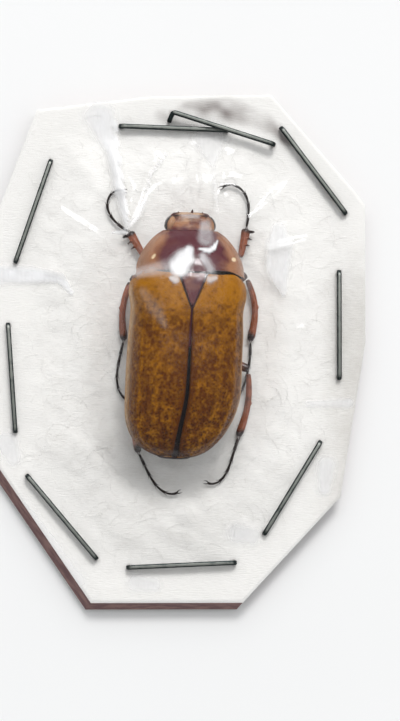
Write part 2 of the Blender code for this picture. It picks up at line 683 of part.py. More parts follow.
def film_heights(covered):
    """A tight film over the covered points: on a grid, each free point settles at its neighbours' mean."""
    half_x, half_y = (max(abs(c[k]) for c in PACKET_CORNERS) + 1 for k in (0, 1))
    step = FILM_GRID
    xs = np.arange(-half_x, half_x + step, step)
    ys = np.arange(-half_y, half_y + step, step)
    floor = np.full((len(xs), len(ys)), FILM_RIM)
    held = np.zeros(floor.shape, bool)
    for i, x in enumerate(xs):
        for j, y in enumerate(ys):
            point = Vector((x, y))
            held[i, j] = outline_depth(point) <= BORDER
            floor[i, j] = max(FILM_RIM, cotton_top(point) + GAP)
    for point in covered:
        i = int((point.x + half_x) / step)
        j = int((point.y + half_y) / step)
        near = floor[max(i, 0) : i + 2, max(j, 0) : j + 2]
        np.maximum(near, point.z + FILM_CLEARANCE, out=near)
    film = floor.copy()
    for _ in range(FILM_ROUNDS):
        mean = film.copy()
        mean[1:-1, 1:-1] = (film[2:, 1:-1] + film[:-2, 1:-1] + film[1:-1, 2:] + film[1:-1, :-2]) / 4
        film = np.where(held, FILM_RIM, np.maximum(mean - FILM_PULL * step * step / 4, floor))

    def height(point):
        """The film's underside at a point, between the grid's heights."""
        u = min(max((point.x + half_x) / step, 0), len(xs) - 2)
        v = min(max((point.y + half_y) / step, 0), len(ys) - 2)
        i, j = int(u), int(v)
        u, v = u - i, v - j
        low = film[i, j] * (1 - u) + film[i + 1, j] * u
        high = film[i, j + 1] * (1 - u) + film[i + 1, j + 1] * u
        if outline_depth(point) <= BORDER + 0.01:
            return FILM_RIM
        return max(low * (1 - v) + high * v, cotton_top(point) + GAP)

    return height


def add_packet(covered):
    """The card, the cotton and the film, each pierced for the staples' legs, and the staples."""
    card_rings = sheet_rings((0.0,), ())
    card = add_layer("packet_card", card_rings, lambda p: CARD_BOTTOM, lambda p: CARD_TOP, "card")
    lean_lower_face(card)
    cotton_rings = sheet_rings((0.0, BORDER, BORDER + COTTON_SLOPE), ())
    cotton = add_layer("packet_cotton", cotton_rings, lambda p: COTTON_BOTTOM, cotton_top, "cotton")
    height = film_heights(covered)
    film_rings = sheet_rings((0.0, BORDER, BORDER + FILM_SLOPE), FILM_SHARES)
    film = add_layer("packet_film", film_rings, height, lambda p: height(p) + FILM_THICKNESS, "film")
    for number, staple in enumerate(STAPLES, 1):
        add_staple(number, staple, (card, cotton, film))


def lean_lower_face(card):
    """Slants the card's cut edges at the beetle's tail end."""
    start, end = CARD_LEAN_SPAN
    for vertex in card.data.vertices:
        if vertex.co.z < (CARD_BOTTOM + CARD_TOP) / 2 * MM:
            share = min(max((start - vertex.co.y / MM) / (start - end), 0), 1)
            vertex.co += Vector((*CARD_LEAN, 0)) * (share * MM)


def add_staple(number, staple, layers):
    """One staple: a crown over the film, legs through the layers, and their ends folded under the card."""
    top = CROWN_BOTTOM + staple.lift + WIRE_THICKNESS
    half, bend = CROWN_LENGTH / 2, WIRE_BEND
    inner = half - WIRE_THICKNESS
    end = half - CLINCH_LENGTH
    outer = [(half - bend, top), (half, top - bend), (half, bend), (half - bend, 0.0), (end, 0.0)]
    back = [(end, WIRE_THICKNESS), (inner, WIRE_THICKNESS), (inner, top - WIRE_THICKNESS)]
    right = outer + back
    left = [(-x, z) for x, z in reversed(right)]
    outline = right + left
    count = len(outline)
    points = [(x, side * WIRE_WIDTH / 2, z) for side in (-1, 1) for x, z in outline]
    faces = [tuple(range(count)), tuple(count + i for i in range(count))]
    faces += [(i, (i + 1) % count, count + (i + 1) % count, count + i) for i in range(count)]
    wire = add_mesh(f"packet_staple_{number}", points, faces, "steel")
    wire.location = Vector((*staple.middle, 0)) * MM
    wire.rotation_euler.z = math.radians(staple.angle)
    for side, word in ((-1, "a"), (1, "b")):
        centre = side * (half - WIRE_THICKNESS / 2)
        x = (centre - WIRE_THICKNESS / 2 - HOLE_MARGIN, centre + WIRE_THICKNESS / 2 + HOLE_MARGIN)
        y = (-WIRE_WIDTH / 2 - HOLE_MARGIN, WIRE_WIDTH / 2 + HOLE_MARGIN)
        ring = [(x[0], y[0]), (x[1], y[0]), (x[1], y[1]), (x[0], y[1])]
        ends = [[(*p, z) for p in ring] for z in (-HOLLOW_OVERRUN, top + HOLLOW_OVERRUN)]
        punch = add_loft(f"punch_{number}{word}", ends, "steel", None, True)
        punch.location = wire.location
        punch.rotation_euler.z = wire.rotation_euler.z
        for layer in layers:
            boolean(layer, punch, "DIFFERENCE")


def add_frame(name, matrix):
    """An empty that carries the parts modelled in its own frame; the matrix moves millimetres."""
    frame = bpy.data.objects.new(name, None)
    bpy.context.scene.collection.objects.link(frame)
    frame.matrix_world = Matrix.Translation(matrix.translation * MM) @ matrix.to_3x3().to_4x4()
    return frame


def covered_points(objects):
    """The corners of objects, in millimetres in the packet's frame."""
    bpy.context.view_layer.update()
    return [obj.matrix_world @ v.co / MM for obj in objects for v in obj.data.vertices]


def main():
    """Builds the beetle, its legs and the packet."""
    for obj in list(bpy.data.objects):
        bpy.data.objects.remove(obj)
    place = Matrix.Translation((*BEETLE_PLACE, COTTON_TOP + KEEL_RISE))
    place @= Matrix.Rotation(math.radians(BEETLE_YAW), 4, "Z")
    place @= Matrix.Rotation(math.radians(BEETLE_ROLL), 4, "Y")
    turn = Matrix.Translation((NECK_SHIFT, NECK, 0)) @ Matrix.Rotation(math.radians(NECK_YAW), 4, "Z")
    beetle = add_frame("beetle", place)
    front = add_frame("front", place @ turn @ Matrix.Translation((0, -NECK, 0)))

    add_head(front)
    pronotum = add_pronotum(front)
    add_scutellum(beetle)
    for side in (-1, 1):
        add_wing_case(side, beetle)
    thorax, abdomen, _ = add_trunk(beetle)
    for leg in LEGS:
        hollowed = (thorax, abdomen) if leg.name.startswith("hind") else (pronotum, thorax)
        add_leg(leg, place, hollowed)
    shapes = [o for o in bpy.data.objects if o.type == "MESH" and not o.name.startswith(("hollow", "socket"))]
    add_packet(covered_points(shapes))


main()
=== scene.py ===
"""The looks of a dried flower beetle that lies under clear film in a stapled card packet.

Lengths are in millimetres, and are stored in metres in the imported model's frame: +Y towards the beetle's
head, +X to its right, +Z up, and z = 0 on the surface that the packet rests on.
"""

import itertools
import logging
import math
from collections.abc import Callable, Iterable, Sequence
from dataclasses import dataclass, field
from enum import Enum
from typing import Any, ClassVar

import bmesh
import bpy
import numpy as np
from mathutils import Matrix, Vector


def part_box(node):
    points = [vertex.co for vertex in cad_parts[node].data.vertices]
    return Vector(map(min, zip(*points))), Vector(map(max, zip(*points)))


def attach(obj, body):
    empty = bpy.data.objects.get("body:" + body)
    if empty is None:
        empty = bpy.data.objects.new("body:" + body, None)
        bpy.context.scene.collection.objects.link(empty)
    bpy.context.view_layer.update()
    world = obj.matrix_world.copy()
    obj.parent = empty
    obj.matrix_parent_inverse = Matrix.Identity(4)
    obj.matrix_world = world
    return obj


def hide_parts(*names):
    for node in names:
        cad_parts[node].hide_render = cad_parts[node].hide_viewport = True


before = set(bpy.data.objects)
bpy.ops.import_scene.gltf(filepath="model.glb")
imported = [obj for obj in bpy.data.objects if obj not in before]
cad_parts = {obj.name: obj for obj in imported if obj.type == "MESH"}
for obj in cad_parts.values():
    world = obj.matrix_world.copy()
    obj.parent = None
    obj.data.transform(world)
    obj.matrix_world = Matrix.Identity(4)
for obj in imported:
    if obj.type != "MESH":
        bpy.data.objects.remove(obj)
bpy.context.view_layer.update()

Array = np.ndarray
Pair = tuple[float, float]
Place = tuple[float, float, float]
Colour = Place
Stations = tuple[Pair, ...]
Paint = dict[str, Array]
Sizes = dict[str, float | int]
Piece = bpy.types.Object
Material = bpy.types.Material
Socket = bpy.types.NodeSocket
Inputs = dict[Any, Any]

LOG = logging.getLogger("flower_beetle")
MM = 0.001
GAP = 0.06  # between neighbouring plates
BODY = "root"


class Side(Enum):
    """The beetle's left or right side, as the sign of x."""

    LEFT = -1
    RIGHT = 1

    @property
    def word(self) -> str:
        """The side's name in a node's name."""
        return self.name.lower()


# Sums on arrays


def curve_at(stations: Stations, places: Array) -> Array:
    """Reads values along stations, on a smooth curve with no overshoot.

    Args:
        stations: Pairs of place and value, in any order.
        places: Where to read the curve.

    Returns:
        One value for each place.
    """
    x, y = np.array(sorted(stations), float).T
    run = np.diff(x)
    slope = np.diff(y) / run
    product, total = slope[:-1] * slope[1:], slope[:-1] + slope[1:]
    inner = np.where(product > 0, 2 * product / np.where(total == 0, 1, total), 0)
    tangent = np.concatenate([slope[:1], inner, slope[-1:]])
    places = np.clip(places, x[0], x[-1])
    i = np.clip(np.searchsorted(x, places, side="right") - 1, 0, len(run) - 1)
    t = (places - x[i]) / run[i]
    start = y[i] * (1 + 2 * t) * (1 - t) ** 2 + tangent[i] * run[i] * t * (1 - t) ** 2
    return start + y[i + 1] * t * t * (3 - 2 * t) + tangent[i + 1] * run[i] * t * t * (t - 1)


def ease(low: float, high: float, value: Array) -> Array:
    """0 up to low and 1 from high on, with a smooth rise between; low may be the greater."""
    t = np.clip((value - low) / (high - low), 0, 1)
    return t * t * (3 - 2 * t)


def hump(value: Array, middle: float, width: float) -> Array:
    """1 at the middle, fading to both sides over the width."""
    return np.exp(-(((value - middle) / width) ** 2))


def taper(t: Array, shoulder: float, tip: float) -> Array:
    """1 at 0 and 0 at 1: a higher shoulder starts to fall later, and a lower tip ends blunter."""
    return np.maximum(0, 1 - np.maximum(t, 0) ** shoulder) ** tip


def gathered(count: int, pull: float) -> Array:
    """Places from 0 to 1 that lie closer together near both ends.

    Args:
        count: How many places.
        pull: 0 for even ones, up to 1 for the closest ends.

    Returns:
        The places in order.
    """
    u = np.linspace(0, 1, count)
    return u - pull * np.sin(2 * np.pi * u) / (2 * np.pi)


def grain(points: Array, size: float, seed: int) -> Array:
    """Smooth noise from -1 to 1, the same on each run.

    Args:
        points: Places, with x, y and z in the last axis.
        size: The width of its lumps.
        seed: Which noise.

    Returns:
        One value for each place.
    """
    p = points / size
    base = np.floor(p)
    f = p - base
    f = f * f * (3 - 2 * f)
    total = np.zeros(points.shape[:-1])
    for corner in itertools.product((0, 1), repeat=3):
        cell = base + corner
        key = cell[..., 0] * 127.1 + cell[..., 1] * 311.7 + cell[..., 2] * 74.7 + seed * 17.31
        spot = np.sin(key) * 43758.5453
        weight = np.prod(np.where(corner, f, 1 - f), axis=-1)
        total += (2 * (spot - np.floor(spot)) - 1) * weight
    return total


def lumps(points: Array, *layers: tuple[float, float, int]) -> Array:
    """Layers of smooth noise, each with its strength, its lumps' width and its seed."""
    return sum(strength * grain(points, size, seed) for strength, size, seed in layers)


def unit(vectors: Array) -> Array:
    """Vectors at length 1."""
    return vectors / np.maximum(np.linalg.norm(vectors, axis=-1, keepdims=True), 1e-12)


def moved(points: Array, matrix: Matrix) -> Array:
    """Points through a matrix that moves millimetres."""
    m = np.array(matrix)
    return points @ m[:3, :3].T + m[:3, 3]


def turned(degrees: float, axis: str = "Z") -> Matrix:
    """A turn about one axis."""
    return Matrix.Rotation(math.radians(degrees), 4, axis)


# Meshes


@dataclass
class Surface:
    """Points, faces and the values painted on the points."""

    points: Array
    faces: list[Sequence[int]]
    paint: Paint = field(default_factory=dict)

    def painted(self, **values: float) -> "Surface":
        """The surface with an even value for each paint."""
        self.paint = {name: np.full(len(self.points), value) for name, value in values.items()}
        return self

    def moved(self, matrix: Matrix) -> "Surface":
        """The surface, put through a matrix that moves millimetres."""
        self.points = moved(self.points, matrix)
        return self

    @staticmethod
    def joined(parts: Iterable["Surface"]) -> "Surface":
        """Puts several surfaces into one, with 0 wherever one lacks another's paint.

        Args:
            parts: The surfaces.

        Returns:
            One surface.
        """
        parts = list(parts)
        names = sorted({name for part in parts for name in part.paint})
        faces: list[Sequence[int]] = []
        start = 0
        for part in parts:
            faces += [[k + start for k in face] for face in part.faces]
            start += len(part.points)
        paint = {n: np.concatenate([p.paint.get(n, np.zeros(len(p.points))) for p in parts]) for n in names}
        return Surface(np.concatenate([p.points for p in parts]), faces, paint)

    def to_object(self, name: str, material: Material, crease: float = 50.0) -> Piece:
        """Makes a smooth-shaded object with its faces turned outwards.

        Args:
            name: The piece's name.
            material: Its finish.
            crease: The angle in degrees past which an edge stays sharp.

        Returns:
            The object, at the origin.
        """
        mesh = bpy.data.meshes.new(name)
        mesh.from_pydata((self.points * MM).tolist(), [], self.faces)
        shape = bmesh.new()
        shape.from_mesh(mesh)
        bmesh.ops.recalc_face_normals(shape, faces=shape.faces)
        shape.to_mesh(mesh)
        shape.free()
        for label, values in self.paint.items():
            layer = mesh.attributes.new(label, "FLOAT", "POINT")
            layer.data.foreach_set("value", np.clip(values, 0, 1).astype(np.float32))
        mesh.shade_smooth()
        mesh.set_sharp_from_angle(angle=math.radians(crease))
        mesh.materials.append(material)
        obj = bpy.data.objects.new(name, mesh)
        bpy.context.scene.collection.objects.link(obj)
        return obj


@dataclass
class Lattice:
    """Points in rows and columns over a smooth surface; on a closed loft, the columns go round."""

    points: Array
    round: bool = False
    paint: Paint = field(default_factory=dict)
    WIDEST_PIT: ClassVar[int] = 12  # in rows or columns

    def normals(self) -> Array:
        """The outward direction at each point: away from the middle of its row, or upwards."""
        along = np.gradient(self.points, axis=0)
        if self.round:
            across = np.roll(self.points, -1, 1) - np.roll(self.points, 1, 1)
            outward = self.points - self.points.mean(axis=1, keepdims=True)
        else:
            across = np.gradient(self.points, axis=1)
            outward = np.array([0.0, 0.0, 1.0])
        normal = unit(np.cross(along, across))
        return normal * np.sign((normal * outward).sum(-1).mean() or 1.0)

    def raise_by(self, height: Array) -> None:
        """Moves the points outwards by a height each."""
        self.points = self.points + self.normals() * height[..., None]

    def scatter(self, density: Array, seed: int) -> list[tuple[int, int]]:
        """Picks points at random.

        Args:
            density: How many for each square millimetre, at each point.
            seed: Of the random draw.

        Returns:
            Row and column of each picked point.
        """
        along = np.linalg.norm(np.gradient(self.points, axis=0), axis=-1)
        across = np.linalg.norm(np.gradient(self.points, axis=1), axis=-1)
        if self.round:
            across[:, [0, -1]] = across[:, [1, -2]]
        chance = np.random.default_rng(seed).random(along.shape)
        return [tuple(p) for p in np.argwhere(chance < density * along * across)]

    def pits(self, centres: Iterable[tuple[int, int]], sizes: Callable[[int, int], float]) -> Array:
        """Marks round pits.

        Args:
            centres: Row and column of each pit's middle.
            sizes: Gives a pit's radius at a row and column.

        Returns:
            1 in the middle of each pit, fading to 0 at its rim.
        """
        rows, columns = self.points.shape[:2]
        found = np.zeros((rows, columns))
        for i, j in centres:
            radius = sizes(i, j)
            here = self.points[i, j]
            ends = self.points[[min(i + 1, rows - 1), max(i - 1, 0)], j]
            sides = self.points[i, [min(j + 1, columns - 1), max(j - 1, 0)]]
            spacings = [max(np.linalg.norm(pair[0] - pair[1]) / 2, 0.01) for pair in (ends, sides)]
            reach_i, reach_j = (min(int(2 * radius / far) + 1, self.WIDEST_PIT) for far in spacings)
            ii = np.arange(max(i - reach_i, 0), min(i + reach_i + 1, rows))
            jj = np.arange(j - reach_j, j + reach_j + 1)
            jj = jj % columns if self.round else jj[(jj >= 0) & (jj < columns)]
            window = np.ix_(ii, jj)
            apart = ((self.points[window] - here) ** 2).sum(-1)
            found[window] = np.maximum(found[window], np.exp(-1.5 * apart / radius**2))
        return found

    def quads(self) -> list[list[int]]:
        """The faces between rows and columns."""
        rows, columns = self.points.shape[:2]
        near = np.arange(columns if self.round else columns - 1)
        far = (near + 1) % columns
        base = np.arange(rows - 1)[:, None] * columns
        stack = np.stack([base + near, base + far, base + columns + far, base + columns + near], -1)
        return stack.reshape(-1, 4).tolist()

    def closed(self, bulges: Pair = (0.0, 0.0), rings: int = 7) -> Surface:
        """Rounds off both ends of a loft.

        Args:
            bulges: How far the first and the last end stand out.
            rings: How many rings each rounding has.

        Returns:
            A closed surface.
        """
        angles = np.linspace(0, np.pi / 2, rings + 1)[1:-1]
        ends, poles = [], []
        for edge, inner, bulge in ((0, 1, bulges[0]), (-1, -2, bulges[1])):
            middle = self.points[edge].mean(0)
            way = unit(middle - self.points[inner].mean(0)) * bulge
            out = self.points[edge] - middle
            ends.append([middle + out * math.cos(a) + way * math.sin(a) for a in angles])
            poles.append(middle + way)
        points = np.concatenate([np.array(ends[0])[::-1], self.points, np.array(ends[1])])
        more = len(angles)
        paint = {}
        for name, values in self.paint.items():
            whole = np.concatenate([np.repeat(values[:1], more, 0), values, np.repeat(values[-1:], more, 0)])
            paint[name] = np.concatenate([whole.reshape(-1), [values[0].mean(), values[-1].mean()]])
        rows, columns = points.shape[:2]
        faces: list[Sequence[int]] = list(Lattice(points, True).quads())
        first = rows * columns
        for j in range(columns):
            k = (j + 1) % columns
            faces.append([first, k, j])
            faces.append([first + 1, (rows - 1) * columns + j, (rows - 1) * columns + k])
        return Surface(np.concatenate([points.reshape(-1, 3), poles]), faces, paint)

    def shelled(self, inner: Array, step: int) -> Surface:
        """Closes an open sheet with a coarser inner side and a wall along its rim.

        Args:
            inner: The inner side's points; they face every step-th outer point.
            step: How many outer faces one inner face covers, each way.

        Returns:
            A closed surface.
        """
        rows, columns = self.points.shape[:2]
        low_rows, low_columns = inner.shape[:2]
        start = rows * columns
        faces: list[Sequence[int]] = list(self.quads())
        faces += [[start + k for k in reversed(face)] for face in Lattice(inner).quads()]

        def wall(outer: list[int], ends: tuple[int, int]) -> None:
            """Adds one wall face from a run of outer points to two inner ones."""
            faces.append([*outer, start + ends[1], start + ends[0]])

        for j in range(low_columns - 1):
            run = range(j * step, (j + 1) * step + 1)
            wall(list(run), (j, j + 1))
            last = (low_rows - 1) * low_columns
            wall([(rows - 1) * columns + k for k in run], (last + j, last + j + 1))
        for i in range(low_rows - 1):
            run = range(i * step, (i + 1) * step + 1)
            wall([k * columns for k in run], (i * low_columns, (i + 1) * low_columns))
            right = low_columns - 1
            outer = [k * columns + columns - 1 for k in run]
            wall(outer, (i * low_columns + right, (i + 1) * low_columns + right))
        paint = {n: np.concatenate([v.reshape(-1), np.zeros(inner.size // 3)]) for n, v in self.paint.items()}
        return Surface(np.concatenate([self.points.reshape(-1, 3), inner.reshape(-1, 3)]), faces, paint)


def tube(route: Array, radii: Array, sides: int = 16, depth: float = 1.0) -> Lattice:
    """Rings round a route.

    Args:
        route: Points along the middle.
        radii: The radius at each point.
        sides: Points in a ring.
        depth: The height as a share of the width.

    Returns:
        The rings as a lattice that goes round.
    """
    ahead = unit(np.gradient(route, axis=0))
    beside = unit(np.cross(ahead, np.array([0.0, 0.0, 1.0])))
    above = np.cross(beside, ahead)
    angle = np.linspace(0, 2 * np.pi, sides, endpoint=False)[None, :, None]
    flat = beside[:, None] * np.cos(angle) + above[:, None] * np.sin(angle) * depth
    return Lattice(route[:, None] + flat * radii[:, None, None], True)


def thorn(root: Array, tip: Array, radius: float, sides: int = 8, hook: Array | None = None) -> Surface:
    """A closed pointed spine.

    Args:
        root: Where it starts.
        tip: Where it ends.
        radius: At its root.
        sides: Points in a ring.
        hook: How far its middle is moved off the straight line.

    Returns:
        The spine, closed.
    """
    t = np.linspace(0, 1, 9)[:, None]
    bend = np.zeros(3) if hook is None else hook
    route = root + (tip - root) * t + bend * (4 * t * (1 - t))
    return tube(route, radius * (1 - 0.88 * t[:, 0] ** 1.2), sides).closed((0.0, radius * 0.1), 3)


# Node trees


class NodeKit:
    """Adds nodes of any type to one tree."""

    def __init__(self, tree: bpy.types.NodeTree) -> None:
        """Keeps the tree."""
        self.tree = tree

    def node(self, kind: str, settings: Inputs | None = None, inputs: Inputs | None = None) -> Any:
        """Adds one node.

        Args:
            kind: The node's type.
            settings: Its properties, set first.
            inputs: Values or links of its sockets, by name or number.

        Returns:
            The node.
        """
        made = self.tree.nodes.new(kind)
        for name, value in (settings or {}).items():
            setattr(made, name, value)
        for key, value in (inputs or {}).items():
            value = getattr(value, "socket", value)
            if isinstance(value, Socket):
                self.tree.links.new(value, made.inputs[key])
            else:
                made.inputs[key].default_value = value
        return made

    def out(self, kind: str, inputs: Inputs | None = None, settings: Inputs | None = None) -> Socket:
        """The first output of a new node."""
        return self.node(kind, settings, inputs).outputs[0]


class Signal:
    """A number that varies over a surface: Python's operators on it add Math nodes."""

    def __init__(self, kit: NodeKit, socket: Socket) -> None:
        """Wraps one socket."""
        self.kit = kit
        self.socket = socket

    def math(self, operation: str, first: Any, second: Any = 0.0) -> "Signal":
        """One Math node on two values."""
        settings = {"operation": operation}
        return Signal(self.kit, self.kit.out("ShaderNodeMath", {0: first, 1: second}, settings))

    def __add__(self, other: Any) -> "Signal":
        """Adds."""
        return self.math("ADD", self, other)

    def __radd__(self, other: Any) -> "Signal":
        """Adds."""
        return self.math("ADD", other, self)

    def __sub__(self, other: Any) -> "Signal":
        """Subtracts other."""
        return self.math("SUBTRACT", self, other)

    def __rsub__(self, other: Any) -> "Signal":
        """Subtracts from other."""
        return self.math("SUBTRACT", other, self)

    def __mul__(self, other: Any) -> "Signal":
        """Multiplies."""
        return self.math("MULTIPLY", self, other)

    def __rmul__(self, other: Any) -> "Signal":
        """Multiplies."""
        return self.math("MULTIPLY", other, self)

    def __pow__(self, other: Any) -> "Signal":
        """Raises to a power."""
        return self.math("POWER", self, other)

    def between(self, low: float, high: float) -> "Signal":
        """0 up to low and 1 from high on, with a smooth rise between."""
        settings = {"interpolation_type": "SMOOTHSTEP"}
        return Signal(self.kit, self.kit.out("ShaderNodeMapRange", {0: self, 1: low, 2: high}, settings))


class Paintwork(NodeKit):
    """One material's node tree, with what its finishes share."""

    def __init__(self, name: str) -> None:
        """Makes a material with an empty tree and its output."""
        self.material = bpy.data.materials.new(name)
        self.material.use_nodes = True
        self.material.node_tree.nodes.clear()
        super().__init__(self.material.node_tree)
        self.place = self.node("ShaderNodeTexCoord").outputs["Object"]

    def paint(self, name: str) -> Signal:
        """A value painted on the mesh's points."""
        return Signal(self, self.node("ShaderNodeAttribute", {"attribute_name": name}).outputs["Fac"])

    def noise(self, size: float, detail: float = 2.0, stretch: Colour = (1, 1, 1)) -> Signal:
        """Noise from 0 to 1 with lumps of a size in millimetres, drawn out by stretch along x, y and z."""
        place = self.place
        if stretch != (1, 1, 1):
            scale = tuple(1 / s for s in stretch)
            place = self.out("ShaderNodeMapping", {"Vector": place, "Scale": scale})
        inputs = {"Vector": place, "Scale": 1 / (size * MM), "Detail": detail}
        return Signal(self, self.out("ShaderNodeTexNoise", inputs))

    def cells(self, size: float) -> Signal:
        """The distance from the middle of cells of a size in millimetres."""
        inputs = {"Vector": self.place, "Scale": 1 / (size * MM)}
        return Signal(self, self.node("ShaderNodeTexVoronoi", None, inputs).outputs["Distance"])

    def mix(self, share: Any, first: Any, second: Any) -> Socket:
        """A colour that goes from first to second."""
        first, second = ((*c, 1) if isinstance(c, tuple) else c for c in (first, second))
        made = self.node("ShaderNodeMix", {"data_type": "RGBA"}, {0: share, 6: first, 7: second})
        return made.outputs[2]

    def bump(self, height: Signal, depth: float, strength: float = 1.0) -> Socket:
        """A normal from a height, whose full range is depth millimetres."""
        inputs = {"Height": height, "Distance": depth * MM, "Strength": strength}
        return self.out("ShaderNodeBump", inputs)

    def finished(self, inputs: dict[str, Any]) -> Material:
        """Adds the Principled shader and the output.

        Args:
            inputs: The shader's values and links.

        Returns:
            The material.
        """
        shader = self.node("ShaderNodeBsdfPrincipled", None, inputs)
        self.node("ShaderNodeOutputMaterial", None, {"Surface": shader.outputs[0]})
        return self.material


class Growth(NodeKit):
    """One Geometry Nodes tree, which ends in Realize Instances and Set Material."""

    TYPES = {float: "NodeSocketFloat", int: "NodeSocketInt"}

    def __init__(self, name: str, sizes: Sizes) -> None:
        """Makes the tree.

        Args:
            name: Its name.
            sizes: Its named inputs, with what they are by default.
        """
        super().__init__(bpy.data.node_groups.new(name, "GeometryNodeTree"))
        face = self.tree.interface
        face.new_socket("Geometry", in_out="INPUT", socket_type="NodeSocketGeometry")
        for label, value in sizes.items():
            face.new_socket(label, in_out="INPUT", socket_type=self.TYPES[type(value)]).default_value = value
        face.new_socket("Geometry", in_out="OUTPUT", socket_type="NodeSocketGeometry")
        self.inlet = self.node("NodeGroupInput").outputs

    def spread(self) -> Any:
        """Random points over the surface, most where its paint says hairy."""
        hairy = self.out("GeometryNodeInputNamedAttribute", {"Name": "hairy"}, {"data_type": "FLOAT"})
        density = self.out("ShaderNodeMath", {0: self.inlet["Density"], 1: hairy}, {"operation": "MULTIPLY"})
        inputs = {"Mesh": self.inlet["Geometry"], "Density": density, "Seed": self.inlet["Seed"]}
        return self.node("GeometryNodeDistributePointsOnFaces", None, inputs).outputs

    def random(self, low: Place, high: Place) -> Socket:
        """A random vector between two."""
        return self.out("FunctionNodeRandomValue", {0: low, 1: high}, {"data_type": "FLOAT_VECTOR"})

    def strew(self, spread: Any, shape: Socket, turn: Socket, scales: Pair, material: Material) -> None:
        """Puts a copy of a shape on each point and ends the tree.

        Args:
            spread: The points.
            shape: What is copied.
            turn: How each copy is turned.
            scales: The smallest and the greatest size of a copy.
            material: What it is made of.
        """
        limits = {2: scales[0], 3: scales[1]}
        size = self.node("FunctionNodeRandomValue", {"data_type": "FLOAT"}, limits).outputs[1]
        inputs = {"Points": spread["Points"], "Instance": shape, "Rotation": turn, "Scale": size}
        self.end(self.out("GeometryNodeInstanceOnPoints", inputs), material)

    def end(self, geometry: Socket, material: Material) -> None:
        """Realizes what was made and gives it its material."""
        real = self.out("GeometryNodeRealizeInstances", {0: geometry})
        done = self.out("GeometryNodeSetMaterial", {"Geometry": real, "Material": material})
        self.node("NodeGroupOutput", None, {0: done})

    def grow(self, name: str, source: bpy.types.Mesh, sizes: Sizes) -> Piece:
        """Runs the tree on a mesh.

        Args:
            name: The new piece's name.
            source: What it grows on.
            sizes: Values of the named inputs.

        Returns:
            A plain mesh object.
        """
        holder = bpy.data.objects.new(name + "_source", source)
        bpy.context.scene.collection.objects.link(holder)
        step = holder.modifiers.new(name, "NODES")
        step.node_group = self.tree
        for item in self.tree.interface.items_tree:
            if item.in_out == "INPUT" and item.name in sizes:
                step[item.identifier] = sizes[item.name]
        bpy.context.view_layer.update()
        mesh = bpy.data.meshes.new_from_object(holder.evaluated_get(bpy.context.evaluated_depsgraph_get()))
        bpy.data.objects.remove(holder)
        mesh.name = name
        made = bpy.data.objects.new(name, mesh)
        bpy.context.scene.collection.objects.link(made)
        return made


# Finishes


@dataclass(frozen=True)
class ShellFinish:
    """Insect shell: its paint darkens, pales or pits it, and fine noise breaks it up."""

    name: str
    light: Colour
    dark: Colour
    pale: Colour
    stain: Colour
    roughness: float = 0.34
    mottle: float = 0.5
    lump: float = 0.5
    skin: float = 0.06
    relief: float = 0.004
    coat: float = 0.3
    gloss: float = 0.4

    def build(self) -> Material:
        """Makes the material."""
        work = Paintwork(self.name)
        shade, pit, pale = (work.paint(n) for n in ("shade", "pit", "pale"))
        blotch = work.noise(self.lump, 3.0)
        fine = work.noise(self.skin, 2.0)
        darkness = shade + (blotch - 0.5) * self.mottle + (fine - 0.5) * (self.mottle * 0.5)
        colour = work.mix(darkness.between(0.0, 1.0), self.light, self.dark)
        colour = work.mix(pale * (0.75 + fine * 0.5), colour, self.pale)
        colour = work.mix((pit * (0.6 + blotch * 0.6)).between(0.05, 0.95), colour, self.stain)
        rough = self.roughness + (blotch - 0.5) * 0.12 + pit * 0.2
        normal = work.bump(fine + blotch * 2.0, self.relief, 0.8)
        inputs = {"Base Color": colour, "Roughness": rough, "Normal": normal, "Coat Roughness": 0.2}
        return work.finished({**inputs, "Coat Weight": self.coat, "Specular IOR Level": self.gloss})


@dataclass(frozen=True)
class EyeFinish:
    """A faceted compound eye."""

    name: str = "compound_eye"
    dark: Colour = (0.012, 0.009, 0.009)
    light: Colour = (0.06, 0.045, 0.04)
    facet: float = 0.035

    def build(self) -> Material:
        """Makes the material."""
        work = Paintwork(self.name)
        facets = work.cells(self.facet)
        colour = work.mix(work.noise(0.3).between(0.35, 0.7), self.dark, self.light)
        inputs = {"Base Color": colour, "Roughness": 0.22 + facets * 0.2, "Coat Weight": 0.6}
        return work.finished({**inputs, "Normal": work.bump(1.0 - facets, 0.008, 0.7)})


@dataclass(frozen=True)
class CardFinish:
    """White-faced card: its paint shows the brown of a cut edge."""

    name: str = "white_card"
    face: Colour = (0.86, 0.84, 0.80)
    core: Colour = (0.18, 0.10, 0.10)
    core_light: Colour = (0.32, 0.19, 0.17)

    def build(self) -> Material:
        """Makes the material."""
        work = Paintwork(self.name)
        layers = work.noise(0.25, 4.0, (6, 6, 1))
        fibre = work.noise(0.12, 4.0)
        core = work.mix(layers.between(0.35, 0.7), self.core, self.core_light)
        face = work.mix(fibre.between(0.3, 0.8), self.face, tuple(c * 0.94 for c in self.face))
        colour = work.mix((work.paint("cut") + (fibre - 0.5) * 0.4).between(0.35, 0.65), face, core)
        normal = work.bump(fibre + layers, 0.03, 0.6)
        return work.finished({"Base Color": colour, "Roughness": 0.72 + fibre * 0.2, "Normal": normal})


